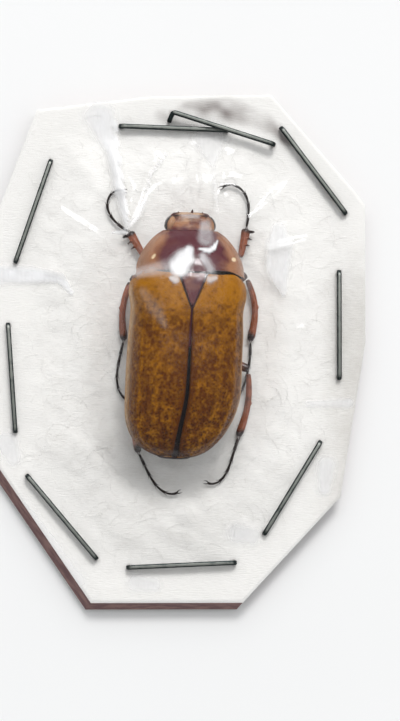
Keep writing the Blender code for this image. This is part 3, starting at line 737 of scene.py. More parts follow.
@dataclass(frozen=True)
class CottonFinish:
    """A soft layer of white fibres, with painted shade in its colour."""

    name: str = "cotton_layer"
    white: Colour = (0.88, 0.865, 0.835)
    # the colour that the painted shade goes towards
    shade: Colour = (0.60, 0.575, 0.535)
    stain: Colour = (0.17, 0.135, 0.125)

    def build(self) -> Material:
        """Makes the material."""
        work = Paintwork(self.name)
        lumps = work.noise(1.6, 4.0)
        fibre = work.noise(0.09, 3.0, (6, 1, 1))
        # painted shade, broken up by noise
        dull = work.paint("shade") + (lumps - 0.5) * 0.35 + (fibre - 0.5) * 0.5
        colour = work.mix(dull.between(0.0, 1.0), self.white, self.shade)
        colour = work.mix(work.paint("stain") * (0.7 + lumps * 0.6), colour, self.stain)
        normal = work.bump(fibre + lumps * 1.5, 0.05, 0.7)
        inputs = {"Base Color": colour, "Roughness": 0.85 + fibre * 0.1, "Normal": normal}
        return work.finished({**inputs, "Sheen Weight": 0.3, "Sheen Roughness": 0.5})


@dataclass(frozen=True)
class FilmFinish:
    """Clear plastic film: it mirrors by its angle, and where a glare is painted on it, it whitens."""

    name: str = "clear_film"
    tint: Colour = (0.96, 0.96, 0.97)
    roughness: float = 0.09
    head_on: float = 0.013  # the share that it mirrors when seen head on

    def build(self) -> Material:
        """Makes the material."""
        work = Paintwork(self.name)
        ripple = work.noise(0.9, 3.0)
        scratch = work.noise(0.3, 3.0, (1, 5, 1))
        normal = work.bump(ripple + scratch * 0.25, 0.05, 0.5)
        clear = work.node("ShaderNodeBsdfTransparent")
        # painted glare: where it is painted, the film turns white, rough and non-metal
        haze = work.paint("haze") * (0.8 + scratch * 0.4)
        metal = 1.0 - haze.between(0.0, 0.1)
        inputs = {"Base Color": (*self.tint, 1), "Metallic": metal, "Normal": normal}
        rough = self.roughness + haze * 0.3 + scratch * 0.05
        mirror = work.node("ShaderNodeBsdfPrincipled", None, {**inputs, "Roughness": rough})
        facing = work.node("ShaderNodeLayerWeight", None, {"Blend": 0.5, "Normal": normal}).outputs["Facing"]
        share = self.head_on + (1 - self.head_on) * Signal(work, facing) ** 5.0 + haze
        mixed = work.node("ShaderNodeMixShader", None, {0: share, 1: clear.outputs[0], 2: mirror.outputs[0]})
        work.node("ShaderNodeOutputMaterial", None, {"Surface": mixed.outputs[0]})
        return work.material


@dataclass(frozen=True)
class SteelFinish:
    """Drawn steel wire: dull, with a painted highlight along the middle of its face."""

    name: str = "staple_wire"
    # the painted highlight's colour; dull is the wire's own dark colour
    bright: Colour = (0.24, 0.25, 0.23)
    dull: Colour = (0.035, 0.045, 0.045)

    def build(self) -> Material:
        """Makes the material."""
        work = Paintwork(self.name)
        drawn = work.noise(0.12, 3.0)
        patch = work.noise(0.9, 3.0)
        # painted highlight along the middle of the wire, broken up by noise
        worn = (work.paint("worn") + (patch - 0.5) * 1.2 + (drawn - 0.5) * 0.5).between(0.25, 0.9)
        colour = work.mix(worn, self.dull, self.bright)
        inputs = {"Base Color": colour, "Metallic": 1.0, "Roughness": 0.34 + drawn * 0.2 + patch * 0.1}
        return work.finished({**inputs, "Normal": work.bump(drawn, 0.012, 0.5)})


@dataclass(frozen=True)
class PlainFinish:
    """A matt finish with a little noise: for hairs, fibres and the floor."""

    name: str
    light: Colour
    dark: Colour
    lump: float
    roughness: float

    def build(self) -> Material:
        """Makes the material."""
        work = Paintwork(self.name)
        noise = work.noise(self.lump, 2.0)
        colour = work.mix(noise.between(0.3, 0.7), self.light, self.dark)
        return work.finished({"Base Color": colour, "Roughness": self.roughness + noise * 0.1})


TAN_SHELL = ShellFinish(
    "tan_shell",
    light=(0.38, 0.150, 0.006),
    dark=(0.095, 0.026, 0.002),
    pale=(0.78, 0.53, 0.31),
    stain=(0.022, 0.007, 0.003),
    roughness=0.5,
    mottle=1.0,
    lump=0.2,
    skin=0.09,
    relief=0.003,
    coat=0.0,
    gloss=0.06,
)
RED_SHELL = ShellFinish(
    "red_shell",
    light=(0.34, 0.155, 0.075),
    dark=(0.085, 0.012, 0.02),
    pale=(0.72, 0.56, 0.36),
    stain=(0.014, 0.007, 0.006),
    mottle=0.7,
    coat=0.05,
    gloss=0.15,
)
BLACK_SHELL = ShellFinish(
    "black_shell",
    light=(0.022, 0.014, 0.012),
    dark=(0.010, 0.007, 0.007),
    pale=(0.30, 0.22, 0.15),
    stain=(0.005, 0.004, 0.004),
    coat=0.0,
    gloss=0.12,
)
LIMB_SHELL = ShellFinish(
    "limb_shell",
    light=(0.28, 0.080, 0.034),
    dark=(0.020, 0.008, 0.007),
    pale=(0.52, 0.30, 0.18),
    stain=(0.010, 0.005, 0.005),
    mottle=0.6,
    lump=0.35,
)
DARK_HAIR = PlainFinish("dark_hair", (0.05, 0.03, 0.02), (0.02, 0.012, 0.01), 0.2, 0.5)
PALE_HAIR = PlainFinish("pale_hair", (0.55, 0.42, 0.24), (0.36, 0.26, 0.14), 0.2, 0.6)
LOOSE_FIBRE = PlainFinish("cotton_fibre", (0.88, 0.87, 0.85), (0.80, 0.79, 0.77), 0.5, 0.7)


@dataclass(frozen=True)
class Coat:
    """A finished material, with a slot name that is kept but not used."""

    material: Material
    slot: str


class Workshop:
    """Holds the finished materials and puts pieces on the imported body."""

    def __init__(self) -> None:
        """Builds each material once."""
        self.tan = Coat(TAN_SHELL.build(), "wing_case")
        self.red = Coat(RED_SHELL.build(), "red_shell")
        self.black = Coat(BLACK_SHELL.build(), "black_shell")
        self.limb = Coat(LIMB_SHELL.build(), "leg_shell")
        self.eye = Coat(EyeFinish().build(), "eye")
        self.card = Coat(CardFinish().build(), "card")
        self.cotton = Coat(CottonFinish().build(), "cotton")
        self.film = Coat(FilmFinish().build(), "film")
        self.steel = Coat(SteelFinish().build(), "steel")
        self.hair = Coat(DARK_HAIR.build(), "black_shell")
        self.down = Coat(PALE_HAIR.build(), "leg_shell")
        self.fibre = Coat(LOOSE_FIBRE.build(), "cotton")

    @staticmethod
    def place(piece: Piece, coat: Coat, *nodes: str) -> Piece:
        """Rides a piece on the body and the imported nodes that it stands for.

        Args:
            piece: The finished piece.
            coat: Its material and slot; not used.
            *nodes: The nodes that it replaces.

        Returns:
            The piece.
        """
        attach(piece, BODY)
        if nodes:
            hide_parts(*nodes)
        LOG.info("%s: %d faces", piece.name, len(piece.data.polygons))
        return piece

    def make(self, name: str, surface: Surface, coat: Coat, *nodes: str, crease: float = 50.0) -> Piece:
        """Makes a piece from a surface and puts it in its place."""
        return self.place(surface.to_object(name, coat.material, crease), coat, *nodes)


# The beetle


@dataclass(frozen=True)
class Stance:
    """How the beetle lies in its packet; its own frame has y = 0 at mid-body and z = 0 at the keel."""

    place: Pair = (0.14, 0.75)
    yaw: float = -2.7
    roll: float = 5.0
    keel_rise: float = 0.12
    neck: float = 5.26
    neck_yaw: float = 1.9
    neck_shift: float = 0.12

    @property
    def bed(self) -> float:
        """The height of the cotton that it lies on."""
        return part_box("packet_cotton")[1].z / MM

    def body(self) -> Matrix:
        """From the beetle's frame to the packet's."""
        at = Matrix.Translation((*self.place, self.bed + self.keel_rise))
        return at @ turned(self.yaw) @ turned(self.roll, "Y")

    def front(self) -> Matrix:
        """From the frame of the head and its shield to the packet's."""
        neck = Matrix.Translation((self.neck_shift, self.neck, 0))
        return self.body() @ neck @ turned(self.neck_yaw) @ Matrix.Translation((0, -self.neck, 0))


@dataclass
class Outline:
    """The body's measures along y, which its plates share."""

    upper: float = 2.5  # the squareness of the back's sections
    lower: float = 1.6
    apex: float = -10.35
    base: float = 5.16
    side_rounding: float = -2.9
    sway: float = -0.5  # how far the hind body bends to the left
    scutellum_width: float = 1.25
    scutellum_tip: float = 2.1
    width: Stations = ((5.16, 4.55), (4.7, 4.92), (3.7, 4.98), (2.0, 4.74), (0.0, 4.82), (-2.9, 4.82))
    height: Stations = ((5.16, 3.18), (4.2, 3.4), (2.2, 3.6), (0.0, 3.68))
    side_edge: Stations = ((5.16, 2.6), (2.2, 2.62), (0.0, 2.45), (-6.0, 2.4), (-10.5, 2.5))
    belly: Stations = ((5, 0.9), (4, 0.15), (2, 0), (-1, 0), (-5, 0.15), (-8, 0.6), (-9.3, 1), (-10.3, 1.7))
    sway_span: Pair = (-4.5, -9.5)  # where the bend begins and where it is full

    def half_width(self, y: Array) -> Array:
        """Half the width over both wing cases."""
        t = (self.side_rounding - y) / (self.side_rounding - self.apex)
        return curve_at(self.width, y) * taper(t, 3.0, 0.45)

    def rise(self, y: Array) -> Array:
        """The back's height over the side edge."""
        return curve_at(self.height, y) * taper(-y / -self.apex, 2.6, 0.4)

    def edge(self, y: Array) -> Array:
        """The height of the wing cases' side edge."""
        return curve_at(self.side_edge, y)

    def aside(self, y: Array) -> Array:
        """How far the hind body's sections lie to the side."""
        return self.sway * ease(*self.sway_span, y)

    def notch(self, y: Array) -> Array:
        """Half the width of the scutellum, which parts the wing cases at their base."""
        tip = self.scutellum_tip
        return np.maximum(0, self.scutellum_width * (y - tip) / (self.base - tip))


def squared(angle: Array, squareness: float) -> tuple[Array, Array]:
    """Across and up on a unit superellipse."""
    across, up = np.cos(angle), np.sin(angle)
    power = 2 / squareness
    return np.sign(across) * np.abs(across) ** power, np.sign(up) * np.abs(up) ** power


def section(sides: int, upper: float, lower: float) -> tuple[Array, Array, Array]:
    """A closed section with its own squareness above and below.

    Args:
        sides: How many points it has.
        upper: The squareness of its upper half.
        lower: The squareness of its lower half.

    Returns:
        Each point's angle, and how far across and up it lies, from -1 to 1.
    """
    angle = np.linspace(0, 2 * np.pi, sides, endpoint=False)
    across, up = np.where(angle <= np.pi, squared(angle, upper), squared(angle, lower))
    return angle[None, :], across[None, :], up[None, :]


@dataclass
class Assembly:
    """A group of the beetle's pieces, with what they all need: finishes, stance and the body's measures."""

    shop: Workshop
    stance: Stance
    outline: Outline


@dataclass
class WingCases(Assembly):
    """The two domed wing cases, with ribs, rows of pits and rolled edges."""

    rows: int = 45  # faces of the inner side; the outer one is finer by the step
    columns: int = 15
    step: int = 10
    reach: float = 0.997  # the share of the way to the apex
    thickness: float = 0.3
    parting: float = 0.6  # degrees that each stands open
    edge_radius: float = 0.11
    corner: float = 0.5  # how far back the outer front corner is rounded
    corner_dip: float = -0.12  # and how far forward the edge stands beside the scutellum
    knobs: tuple[tuple[Pair, Pair], ...] = (  # shoulder and hind knob: place and width along, then across
        ((3.7, 0.9), (0.70, 0.12)),
        ((-8.4, 0.8), (0.52, 0.13)),
    )
    knob_height: float = 0.10
    ribs: Pair = (0.30, 0.56)  # where they run, from the seam to the side edge
    rib_height: float = 0.05
    rib_width: float = 0.035
    dip_depth: float = 0.02  # of the dip beside each rib
    dip_offset: float = 0.07
    bead_height: float = 0.05
    bead_groove: float = 0.04
    pit_rows: int = 11
    pit_spacing: float = 0.34
    pit_span: Pair = (4.3, -10.2)
    pit_depth: float = 0.045
    pit_radius: float = 0.055
    pit_growth: float = 0.035  # how much greater it is at the tail

    def sheet(self, y: Array, across: Array, inset: Array, side: Side) -> Array:
        """Points of one side of the shell.

        Args:
            y: The rows' stations.
            across: From the seam at 0 to the side edge at 1.
            inset: How far each row lies inside the outer surface.
            side: Which wing case.

        Returns:
            The points in rows and columns.
        """
        power = 2 / self.outline.upper
        width = (self.outline.half_width(y) - inset)[:, None]
        rise = (self.outline.rise(y) - inset)[:, None]
        seam = (self.outline.notch(y) + GAP)[:, None] / width
        start = np.arcsin(np.minimum(seam, 0.95) ** (1 / power))
        angle = start + across[None, :] * (np.pi / 2 - start)
        x = width * np.sin(angle) ** power
        z = self.outline.edge(y)[:, None] + rise * np.maximum(0, np.cos(angle)) ** power
        front = self.outline.base
        back = self.corner * ease(0.5, 1.0, across)[None, :] * ease(2.6, front, y)[:, None]
        back = back + self.corner_dip * hump(across, 0.42, 0.14)[None, :] * ease(3.6, front, y)[:, None]
        points = np.stack([side.value * x, y[:, None] - back, z], -1)
        base = Matrix.Translation((0, front, 0))
        points = moved(points, base @ turned(self.parting * side.value) @ base.inverted())
        points[..., 0] += self.outline.aside(y)[:, None]
        return points

    def relief(self, sheet: Lattice, y: Array, across: Array, rim: Paint) -> Array:
        """The height of knobs, ribs, beads and dents over the smooth dome.

        Args:
            sheet: The dome.
            y: The rows' stations.
            across: From the seam at 0 to the side edge at 1.
            rim: How far each point lies from the seam and from the side.

        Returns:
            The height at each point.
        """
        y, across = y[:, None], across[None, :]
        fore_and_aft = ease(4.4, 2.4, y) * ease(-10.0, -8.2, y)
        height = np.zeros(sheet.points.shape[:2])
        for (station, length), (place, width) in self.knobs:
            height += self.knob_height * hump(y, station, length) * hump(across, place, width)
        for rib in self.ribs:
            height += self.rib_height * hump(across, rib, self.rib_width) * fore_and_aft
            height -= self.dip_depth * hump(across, rib + self.dip_offset, 0.03) * fore_and_aft
        height += self.bead_height * hump(rim["seam"], 0.16, 0.12) * ease(2.0, -3.0, y)
        height += self.bead_height * hump(rim["side"], 0.20, 0.10)
        height -= self.bead_groove * hump(rim["side"], 0.42, 0.12)
        return height + lumps(sheet.points, (0.03, 2.2, 3), (0.006, 0.35, 4))

    def pit_places(self, sheet: Lattice, y: Array, across: Array, seed: int) -> list[tuple[int, int]]:
        """Rows of pits, with more between them towards the tail.

        Args:
            sheet: The dome.
            y: The rows' stations.
            across: From the seam at 0 to the side edge at 1.
            seed: Of the random draws.

        Returns:
            Row and column of each pit.
        """
        draw = np.random.default_rng(seed)
        places = []
        for k in range(self.pit_rows):
            line = (k + 0.6) / self.pit_rows
            station, last = self.pit_span
            while station > last:
                station -= self.pit_spacing * draw.uniform(0.7, 1.3)
                if draw.random() > 0.35 + 0.65 * float(ease(4.0, -5.0, np.array(station))):
                    continue
                i = int(np.abs(y - station).argmin())
                j = int(np.abs(across - line - draw.normal(0, 0.010)).argmin())
                places.append((i, j))
        density = 1.0 + 7.0 * ease(3.0, -7.0, y)[:, None] * np.ones_like(across)[None, :]
        return places + sheet.scatter(density, seed + 1)

    def build(self, side: Side) -> Piece:
        """Builds one wing case.

        Args:
            side: Which one.

        Returns:
            The piece.
        """
        outline = self.outline
        along = gathered(self.rows * self.step + 1, 0.8)
        across = gathered(self.columns * self.step + 1, 0.6)
        y = outline.base + (outline.apex - outline.base) * self.reach * along
        sheet = Lattice(self.sheet(y, across, np.zeros_like(y), side))
        steps = np.linalg.norm(np.diff(sheet.points, axis=1), axis=-1)
        from_seam = np.concatenate([np.zeros((len(y), 1)), np.cumsum(steps, 1)], 1)
        rim = {"seam": from_seam, "side": from_seam[:, -1:] - from_seam}
        ends = np.minimum((outline.base - y), (y - y[-1]) * 1.6)[:, None]
        border = rim["edge"] = np.minimum(np.minimum(rim["seam"], rim["side"]), ends)

        pits = sheet.pits(self.pit_places(sheet, y, across, 11 + side.value), self.pit_size(y, side))
        pits *= ease(0.12, 0.3, border)
        height = self.relief(sheet, y, across, rim) - self.pit_depth * pits
        r = self.edge_radius
        roll = r - np.sqrt(np.maximum(r * r - np.maximum(r - border, 0) ** 2, 0))
        sheet.raise_by(height * ease(0.0, 0.25, border) - roll)
        sheet.paint = self.colours(sheet.points, y, across, pits, rim)

        low_y, low_across = y[:: self.step], across[:: self.step]
        inset = np.minimum(self.thickness, 0.45 * outline.half_width(low_y))
        shell = sheet.shelled(self.sheet(low_y, low_across, inset, side), self.step)
        node = f"wing_case_{side.word}"
        shell.moved(self.stance.body())
        return self.shop.make(f"{node}_shell", shell, self.shop.tan, node, crease=60)

    def pit_size(self, y: Array, side: Side) -> Callable[[int, int], float]:
        """A pit's radius by its row and column: greater towards the tail, and a little uneven."""
        growth = self.pit_radius + self.pit_growth * ease(4.0, -6.0, y)

        def size(i: int, j: int) -> float:
            """The radius at one row and column."""
            return float(growth[i]) * (0.75 + 0.5 * ((i * 7 + j * 13 + side.value) % 11) / 10)

        return size

    def colours(self, points: Array, y: Array, across: Array, pits: Array, rim: Paint) -> Paint:
        """What is painted: darker towards the tail and along the seam, pale along the sides.

        Args:
            points: The outer surface.
            y: The rows' stations.
            across: From the seam at 0 to the side edge at 1.
            pits: Where the pits are.
            rim: How far each point lies from the seam, from the side and from the nearest edge.

        Returns:
            The paint.
        """
        y, across = y[:, None], across[None, :]
        clouds = lumps(points, (0.15, 1.4, 21), (0.3, 0.6, 22), (0.6, 0.28, 23))
        aft = ease(3.5, -8.5, y)
        shade = 0.24 + 0.40 * ease(4.0, 0.5, y) + 0.1 * aft + clouds * (0.38 + 0.12 * aft)
        shade += 0.35 * hump(rim["seam"], 0.0, 0.3) * ease(3.0, -2.0, y)
        shade -= 0.25 * sum(hump(across, rib, 0.05) for rib in self.ribs) * aft
        rear_rim = ease(1.1, 0.0, np.maximum(y - self.outline.apex, 0) + 0 * across)
        pit = pits * (0.3 + 0.6 * aft) + rear_rim * 0.9 * ease(0.5, 0.0, rim["edge"])
        pit += 0.35 * ease(0.10, 0.0, rim["edge"]) * ease(4.0, -6.0, y)
        # pale along the side margins: partly the shell's own paler edge, partly painted sheen of the film
        # over them
        pale = 0.95 * ease(0.72, 0.95, across) * (0.7 + 0.4 * clouds) * ease(4.9, 3.4, y)
        return {"shade": shade, "pit": pit, "pale": pale * ease(-9.5, -7.0, y)}


@dataclass(frozen=True)
class Spot:
    """A pale mark on the shield: its middle in the packet's frame, and its half sizes."""

    middle: Pair
    half: Pair
    turn: float = 0.0

    def cover(self, points: Array) -> Array:
        """1 inside the spot, fading at its edge."""
        way = np.array([math.cos(self.turn), math.sin(self.turn)])
        apart = points[..., :2] - self.middle
        along = apart @ way / self.half[0]
        beside = apart @ np.array([-way[1], way[0]]) / self.half[1]
        return ease(1.25, 0.75, np.sqrt(along**2 + beside**2))


@dataclass
class Pronotum(Assembly):
    """The shield behind the head."""

    rows: int = 130
    sides: int = 240
    span: Pair = (8.9, 5.34)
    width: Stations = ((8.9, 2.3), (8.5, 2.9), (7.9, 3.48), (7.1, 4.02), (6.2, 4.42), (5.25, 4.68))
    top: Stations = ((8.9, 3.45), (8.2, 4.2), (7.2, 4.98), (6.2, 5.48), (5.25, 5.72))
    margin: Stations = ((8.9, 2.35), (7.0, 2.35), (5.25, 2.6))
    belly: Stations = ((8.9, 1.35), (7.6, 0.85), (6.4, 0.75), (5.25, 0.9))
    corner: float = 0.42  # how far back the hind corners reach
    lobe: float = 0.03  # and the middle, over the scutellum
    bead_height: float = 0.09
    groove_depth: float = 0.04
    pit_depth: float = 0.022
    spot_depth: float = 0.03
    spots: tuple[Spot, ...] = (
        Spot((-2.42, 7.36), (0.25, 0.12), 1.0),
        Spot((4.40, 7.16), (0.20, 0.18)),
    )

    def stations(self) -> Array:
        """Where the sections are, from front to back."""
        return self.span[0] + (self.span[1] - self.span[0]) * gathered(self.rows, 0.5)

    def rings(self) -> Array:
        """The sections, with a wavy hind edge."""
        y = self.stations()
        _, across, up = section(self.sides, self.outline.upper, self.outline.lower)
        measures = (self.width, self.top, self.margin, self.belly)
        width, top, margin, belly = (curve_at(measure, y)[:, None] for measure in measures)
        z = margin + np.where(up > 0, (top - margin) * up, (margin - belly) * up)
        hind = ease(6.5, 5.4, y)[:, None] * ease(-0.2, 0.3, up)
        lobes = 0.07 * hump(np.abs(across), 0.42, 0.2) - self.corner * ease(0.62, 1.0, np.abs(across))
        lobes = lobes - self.lobe * hump(across, 0.0, 0.2)
        return np.stack([width * across, y[:, None] + hind * lobes, z], -1)

    def build(self, hollows: Sequence["Hollow"]) -> Piece:
        """Builds the shield.

        Args:
            hollows: The femora's hollows.

        Returns:
            The piece.
        """
        shield = Lattice(self.rings(), True)
        up = np.sin(section(self.sides, 2, 2)[0])
        y = self.stations()[:, None]
        upper = ease(-0.05, 0.25, up)
        x = np.abs(shield.points[..., 0]) / curve_at(self.width, y)
        bead = hump(up, 0.02, 0.09) * self.bead_height
        height = (bead - hump(up, 0.34, 0.12) * self.groove_depth) * ease(5.4, 6.0, y)
        height += 0.012 * hump(y, self.span[0] - 0.12, 0.10) * upper
        height = height - 0.03 * hump(x, 0.55, 0.10) * hump(y, 6.9, 0.5) * upper
        height += lumps(shield.points, (0.02, 1.6, 5))
        density = (5.0 + 14.0 * ease(0.3, 0.9, x)) * (0.3 + 0.7 * upper)
        pits = shield.pits(shield.scatter(density, 31), lambda i, j: 0.035 + 0.02 * ((i + j * 3) % 5) / 4)
        shield.raise_by(height - self.pit_depth * pits)

        world = moved(shield.points, self.stance.front())
        clouds = lumps(world, (0.5, 1.2, 33), (0.3, 0.5, 34))
        shade = 1.0 - 0.9 * ease(0.55, 0.9, x) - 0.6 * ease(6.6, 5.6, y) * ease(0.25, 0.7, x) + 0.35 * clouds
        shade = np.where(upper > 0.05, shade + 0.4 * ease(8.3, 8.7, y), 0.75)
        pale = np.maximum(*(spot.cover(world) for spot in self.spots)) * upper
        # painted shade along the hind edge, where the shield meets the wing cases, patchy along its length
        worn = 0.35 + 0.65 * ease(-0.5, 0.3, grain(world, 0.9, 35) + 0.8 * hump(x, 0.85, 0.3))
        edge = hump(y, self.span[1] - 0.02, 0.09) * worn * upper
        shield.paint = {"shade": shade, "pale": pale, "pit": np.maximum(pits * 0.7 * (1 - pale), edge)}
        shield.raise_by(-self.spot_depth * pale)
        closed = shield.closed((0.10, 0.05), 6).moved(self.stance.front())
        closed.points = carved(closed.points, hollows)
        return self.shop.make("pronotum_shell", closed, self.shop.red, "pronotum", crease=60)


@dataclass
class Scutellum(Assembly):
    """The small triangular plate between the bases of the wing cases."""

    rows: int = 70
    columns: int = 41
    blunting: float = 0.3
    drop: float = 0.02
    thickness: float = 0.35

    def build(self) -> Piece:
        """Builds the plate."""
        outline = self.outline
        y = np.linspace(outline.base, outline.scutellum_tip + self.blunting, self.rows)
        width = outline.notch(y) - self.drop
        top = outline.edge(y) + outline.rise(y) - self.drop
        across = np.linspace(-1, 1, self.columns)
        upper = np.sin(np.pi * np.arange(self.columns) / (self.columns - 1)) ** 0.35
        x = np.concatenate([across, across[::-1][1:-1]])
        low = np.full(self.columns - 2, -self.thickness)
        ring_x = width[:, None] * x[None, :]
        ring_z = top[:, None] + np.concatenate([-0.10 * (1 - upper), low])[None, :]
        plate = Lattice(np.stack([ring_x, np.broadcast_to(y[:, None], ring_x.shape), ring_z], -1), True)
        on_top = np.concatenate([np.ones(self.columns), np.zeros(self.columns - 2)])[None, :]
        middle = np.abs(x)[None, :] * np.ones((self.rows, 1))
        dents = lumps(plate.points, (0.018, 0.5, 41)) - 0.03 * hump(middle, 0.0, 0.3)
        plate.points[..., 2] += dents * on_top
        from_tip = y - outline.scutellum_tip
        edge = ease(0.72, 1.0, middle) + ease(0.7, 0.3, from_tip)[:, None]
        clouds = lumps(plate.points, (0.3, 0.5, 42))
        plate.paint = {"shade": 0.8 + clouds + 0.4 * edge, "pit": 0.15 + np.clip(edge, 0, 1) * 0.65}
        closed = plate.closed((0.03, 0.03), 4).moved(self.stance.body())
        return self.shop.make("scutellum_shell", closed, self.shop.red, "scutellum")


@dataclass(frozen=True)
class Hollow:
    """The space in the belly for one femur: a lying capsule."""

    start: Array
    end: Array
    radius: float
    depth: float = 0.85


def carved(points: Array, hollows: Sequence[Hollow]) -> Array:
    """Lifts the points of an underside off the femora that lie against it.

    Args:
        points: The surface's points.
        hollows: The spaces to clear.

    Returns:
        The new points.
    """
    points = points.copy()
    for hollow in hollows:
        run = (hollow.end - hollow.start)[:2]
        t = np.clip(((points[:, :2] - hollow.start[:2]) @ run) / (run @ run), 0, 1)
        middle = hollow.start + (hollow.end - hollow.start) * t[:, None]
        apart = np.linalg.norm(points[:, :2] - middle[:, :2], axis=1)
        inside = np.sqrt(np.maximum(hollow.radius**2 - apart**2, 0)) * hollow.depth
        within = (apart < hollow.radius) & (np.abs(points[:, 2] - middle[:, 2]) < inside)
        points[within, 2] = (middle[:, 2] + inside)[within]
    return points


@dataclass(frozen=True)
class Length:
    """One length of the trunk: its first and last station, its sections, and how its ends bulge."""

    node: str
    span: Pair
    rows: int
    bulges: Pair = (0.02, 0.02)
    stained: float = 0.0  # how dark it is all over


@dataclass
class Trunk(Assembly):
    """The thorax with its forward spine, the abdomen in its rings, and the last plate of the tail."""

    inside: float = 0.51  # from the back's surface down to the trunk
    sides: int = 200
    thorax: Length = Length("thorax", (5.0, -1.0), 150)
    abdomen: Length = Length("abdomen", (-1.06, -9.1), 200)
    # the tail is painted dark all over: painted shade, where it lies under the wing cases' tips
    tail: Length = Length("pygidium", (-9.16, -10.3), 40, (0.02, 0.16), 0.8)
    tail_stations: Stations = ((-9.16, -9.4), (-9.68, -9.82), (-10.04, -10.04), (-10.3, -10.18))
    tail_back: Stations = ((-9.16, 1.0), (-9.68, 0.75), (-10.04, 0.0), (-10.3, 0.0))
    seams: tuple[float, ...] = (-2.6, -4.1, -5.6, -7.0, -8.2)
    seam_depth: float = 0.09
    swell: float = 0.03
    keel: float = 0.04
    pit_depth: float = 0.02
    spine_span: Pair = (3.2, 6.2)
    spine_height: Stations = ((0, 0.62), (0.4, 0.42), (0.75, 0.36), (1, 0.42))
    spine_radius: Stations = ((0, 0.5), (0.45, 0.42), (0.75, 0.3), (1, 0.16))

    def rings(self, length: Length) -> Array:
        """Sections that fit inside the shells and bulge out below them, and draw in under their end.

        Args:
            length: Which length of the trunk.

        Returns:
            The points in rows and columns.
        """
        place = y = np.linspace(*length.span, length.rows)
        back = np.ones(length.rows)
        if length is self.tail:
            y, back = curve_at(self.tail_stations, place), curve_at(self.tail_back, place)
        outline = self.outline
        half = np.linspace(0, np.pi, self.sides // 2)
        over, up_over = squared(half, outline.upper)
        under, up_under = squared(np.pi + half, outline.lower)
        width, edge = outline.half_width(y)[:, None], outline.edge(y)[:, None]
        rise = (outline.rise(y) - self.inside)[:, None] * back[:, None]
        low_edge = edge - 2 * GAP
        depth = low_edge - curve_at(outline.belly, place)[:, None]
        x = np.concatenate([(width - self.inside) * over, (width - 2 * GAP) * under], 1)
        z = np.concatenate([edge - GAP + rise * up_over, low_edge + depth * up_under], 1)
        x = x + outline.aside(place)[:, None]
        return np.stack([x, np.broadcast_to(place[:, None], x.shape), z], -1)

    def plate(self, length: Length, coat: Coat, hollows: Sequence[Hollow], *extra: Surface) -> Piece:
        """Builds one length of the trunk.

        Args:
            length: Which one.
            coat: Its finish.
            hollows: The femora's hollows.
            *extra: Closed surfaces that grow from it.

        Returns:
            The piece.
        """
        part = Lattice(self.rings(length), True)
        lower = np.repeat([0.0, 1.0], self.sides // 2)[None, :]
        x, y = part.points[..., 0], part.points[:, :1, 1]
        grooves = sum(hump(y, seam, 0.06) for seam in self.seams) + 0 * x
        swell = sum(0.5 - 0.5 * np.cos(np.clip((y - seam) / 1.5, -1, 0) * 2 * np.pi) for seam in self.seams)
        keel = hump(x, 0.0, 0.08) * ease(-1.0, 0.5, y) * ease(5.0, 3.5, y)
        height = lower * (self.swell * swell - self.seam_depth * grooves - self.keel * keel)
        density = lower * (3.0 + 6.0 * ease(1.5, 3.8, np.abs(x)))
        pits = part.pits(part.scatter(density, 52), lambda i, j: 0.05)
        part.raise_by(height + lumps(part.points, (0.012, 0.5, 51)) - self.pit_depth * pits)
        stains = np.maximum(pits * 0.6, lower * grooves)
        part.paint = {
            "shade": 1.0 - 0.85 * lower + lumps(part.points, (0.3, 0.8, 53)) + lower * 0.5 * grooves,
            "pit": np.maximum(stains, length.stained),
            "hairy": lower * ease(2.6, 3.8, np.abs(x)),
        }
        closed = part.closed(length.bulges, 8)
        closed.points = carved(moved(closed.points, self.stance.body()), hollows)
        whole = Surface.joined([closed, *extra])
        return self.shop.make(f"{length.node}_shell", whole, coat, length.node, crease=60)

    def spine(self) -> Surface:
        """The blunt spine that points forward between the middle legs."""
        t = np.linspace(0, 1, 24)
        start, end = self.spine_span
        route = np.stack([0 * t, start + (end - start) * t, curve_at(self.spine_height, t)], -1)
        rings = tube(moved(route, self.stance.body()), curve_at(self.spine_radius, t), 20, 0.7)
        return rings.closed((0.1, 0.12)).painted(shade=0.3, hairy=0.0)

    def build(self, hollows: dict[str, Hollow]) -> list[Piece]:
        """Builds the three lengths.

        Args:
            hollows: The hollow of each leg's femur, by the leg's name.

        Returns:
            The pieces.
        """
        hind = [hollow for name, hollow in hollows.items() if "hind" in name]
        return [
            self.plate(self.thorax, self.shop.red, list(hollows.values()), self.spine()),
            self.plate(self.abdomen, self.shop.black, hind),
            self.plate(self.tail, self.shop.red, []),
        ]


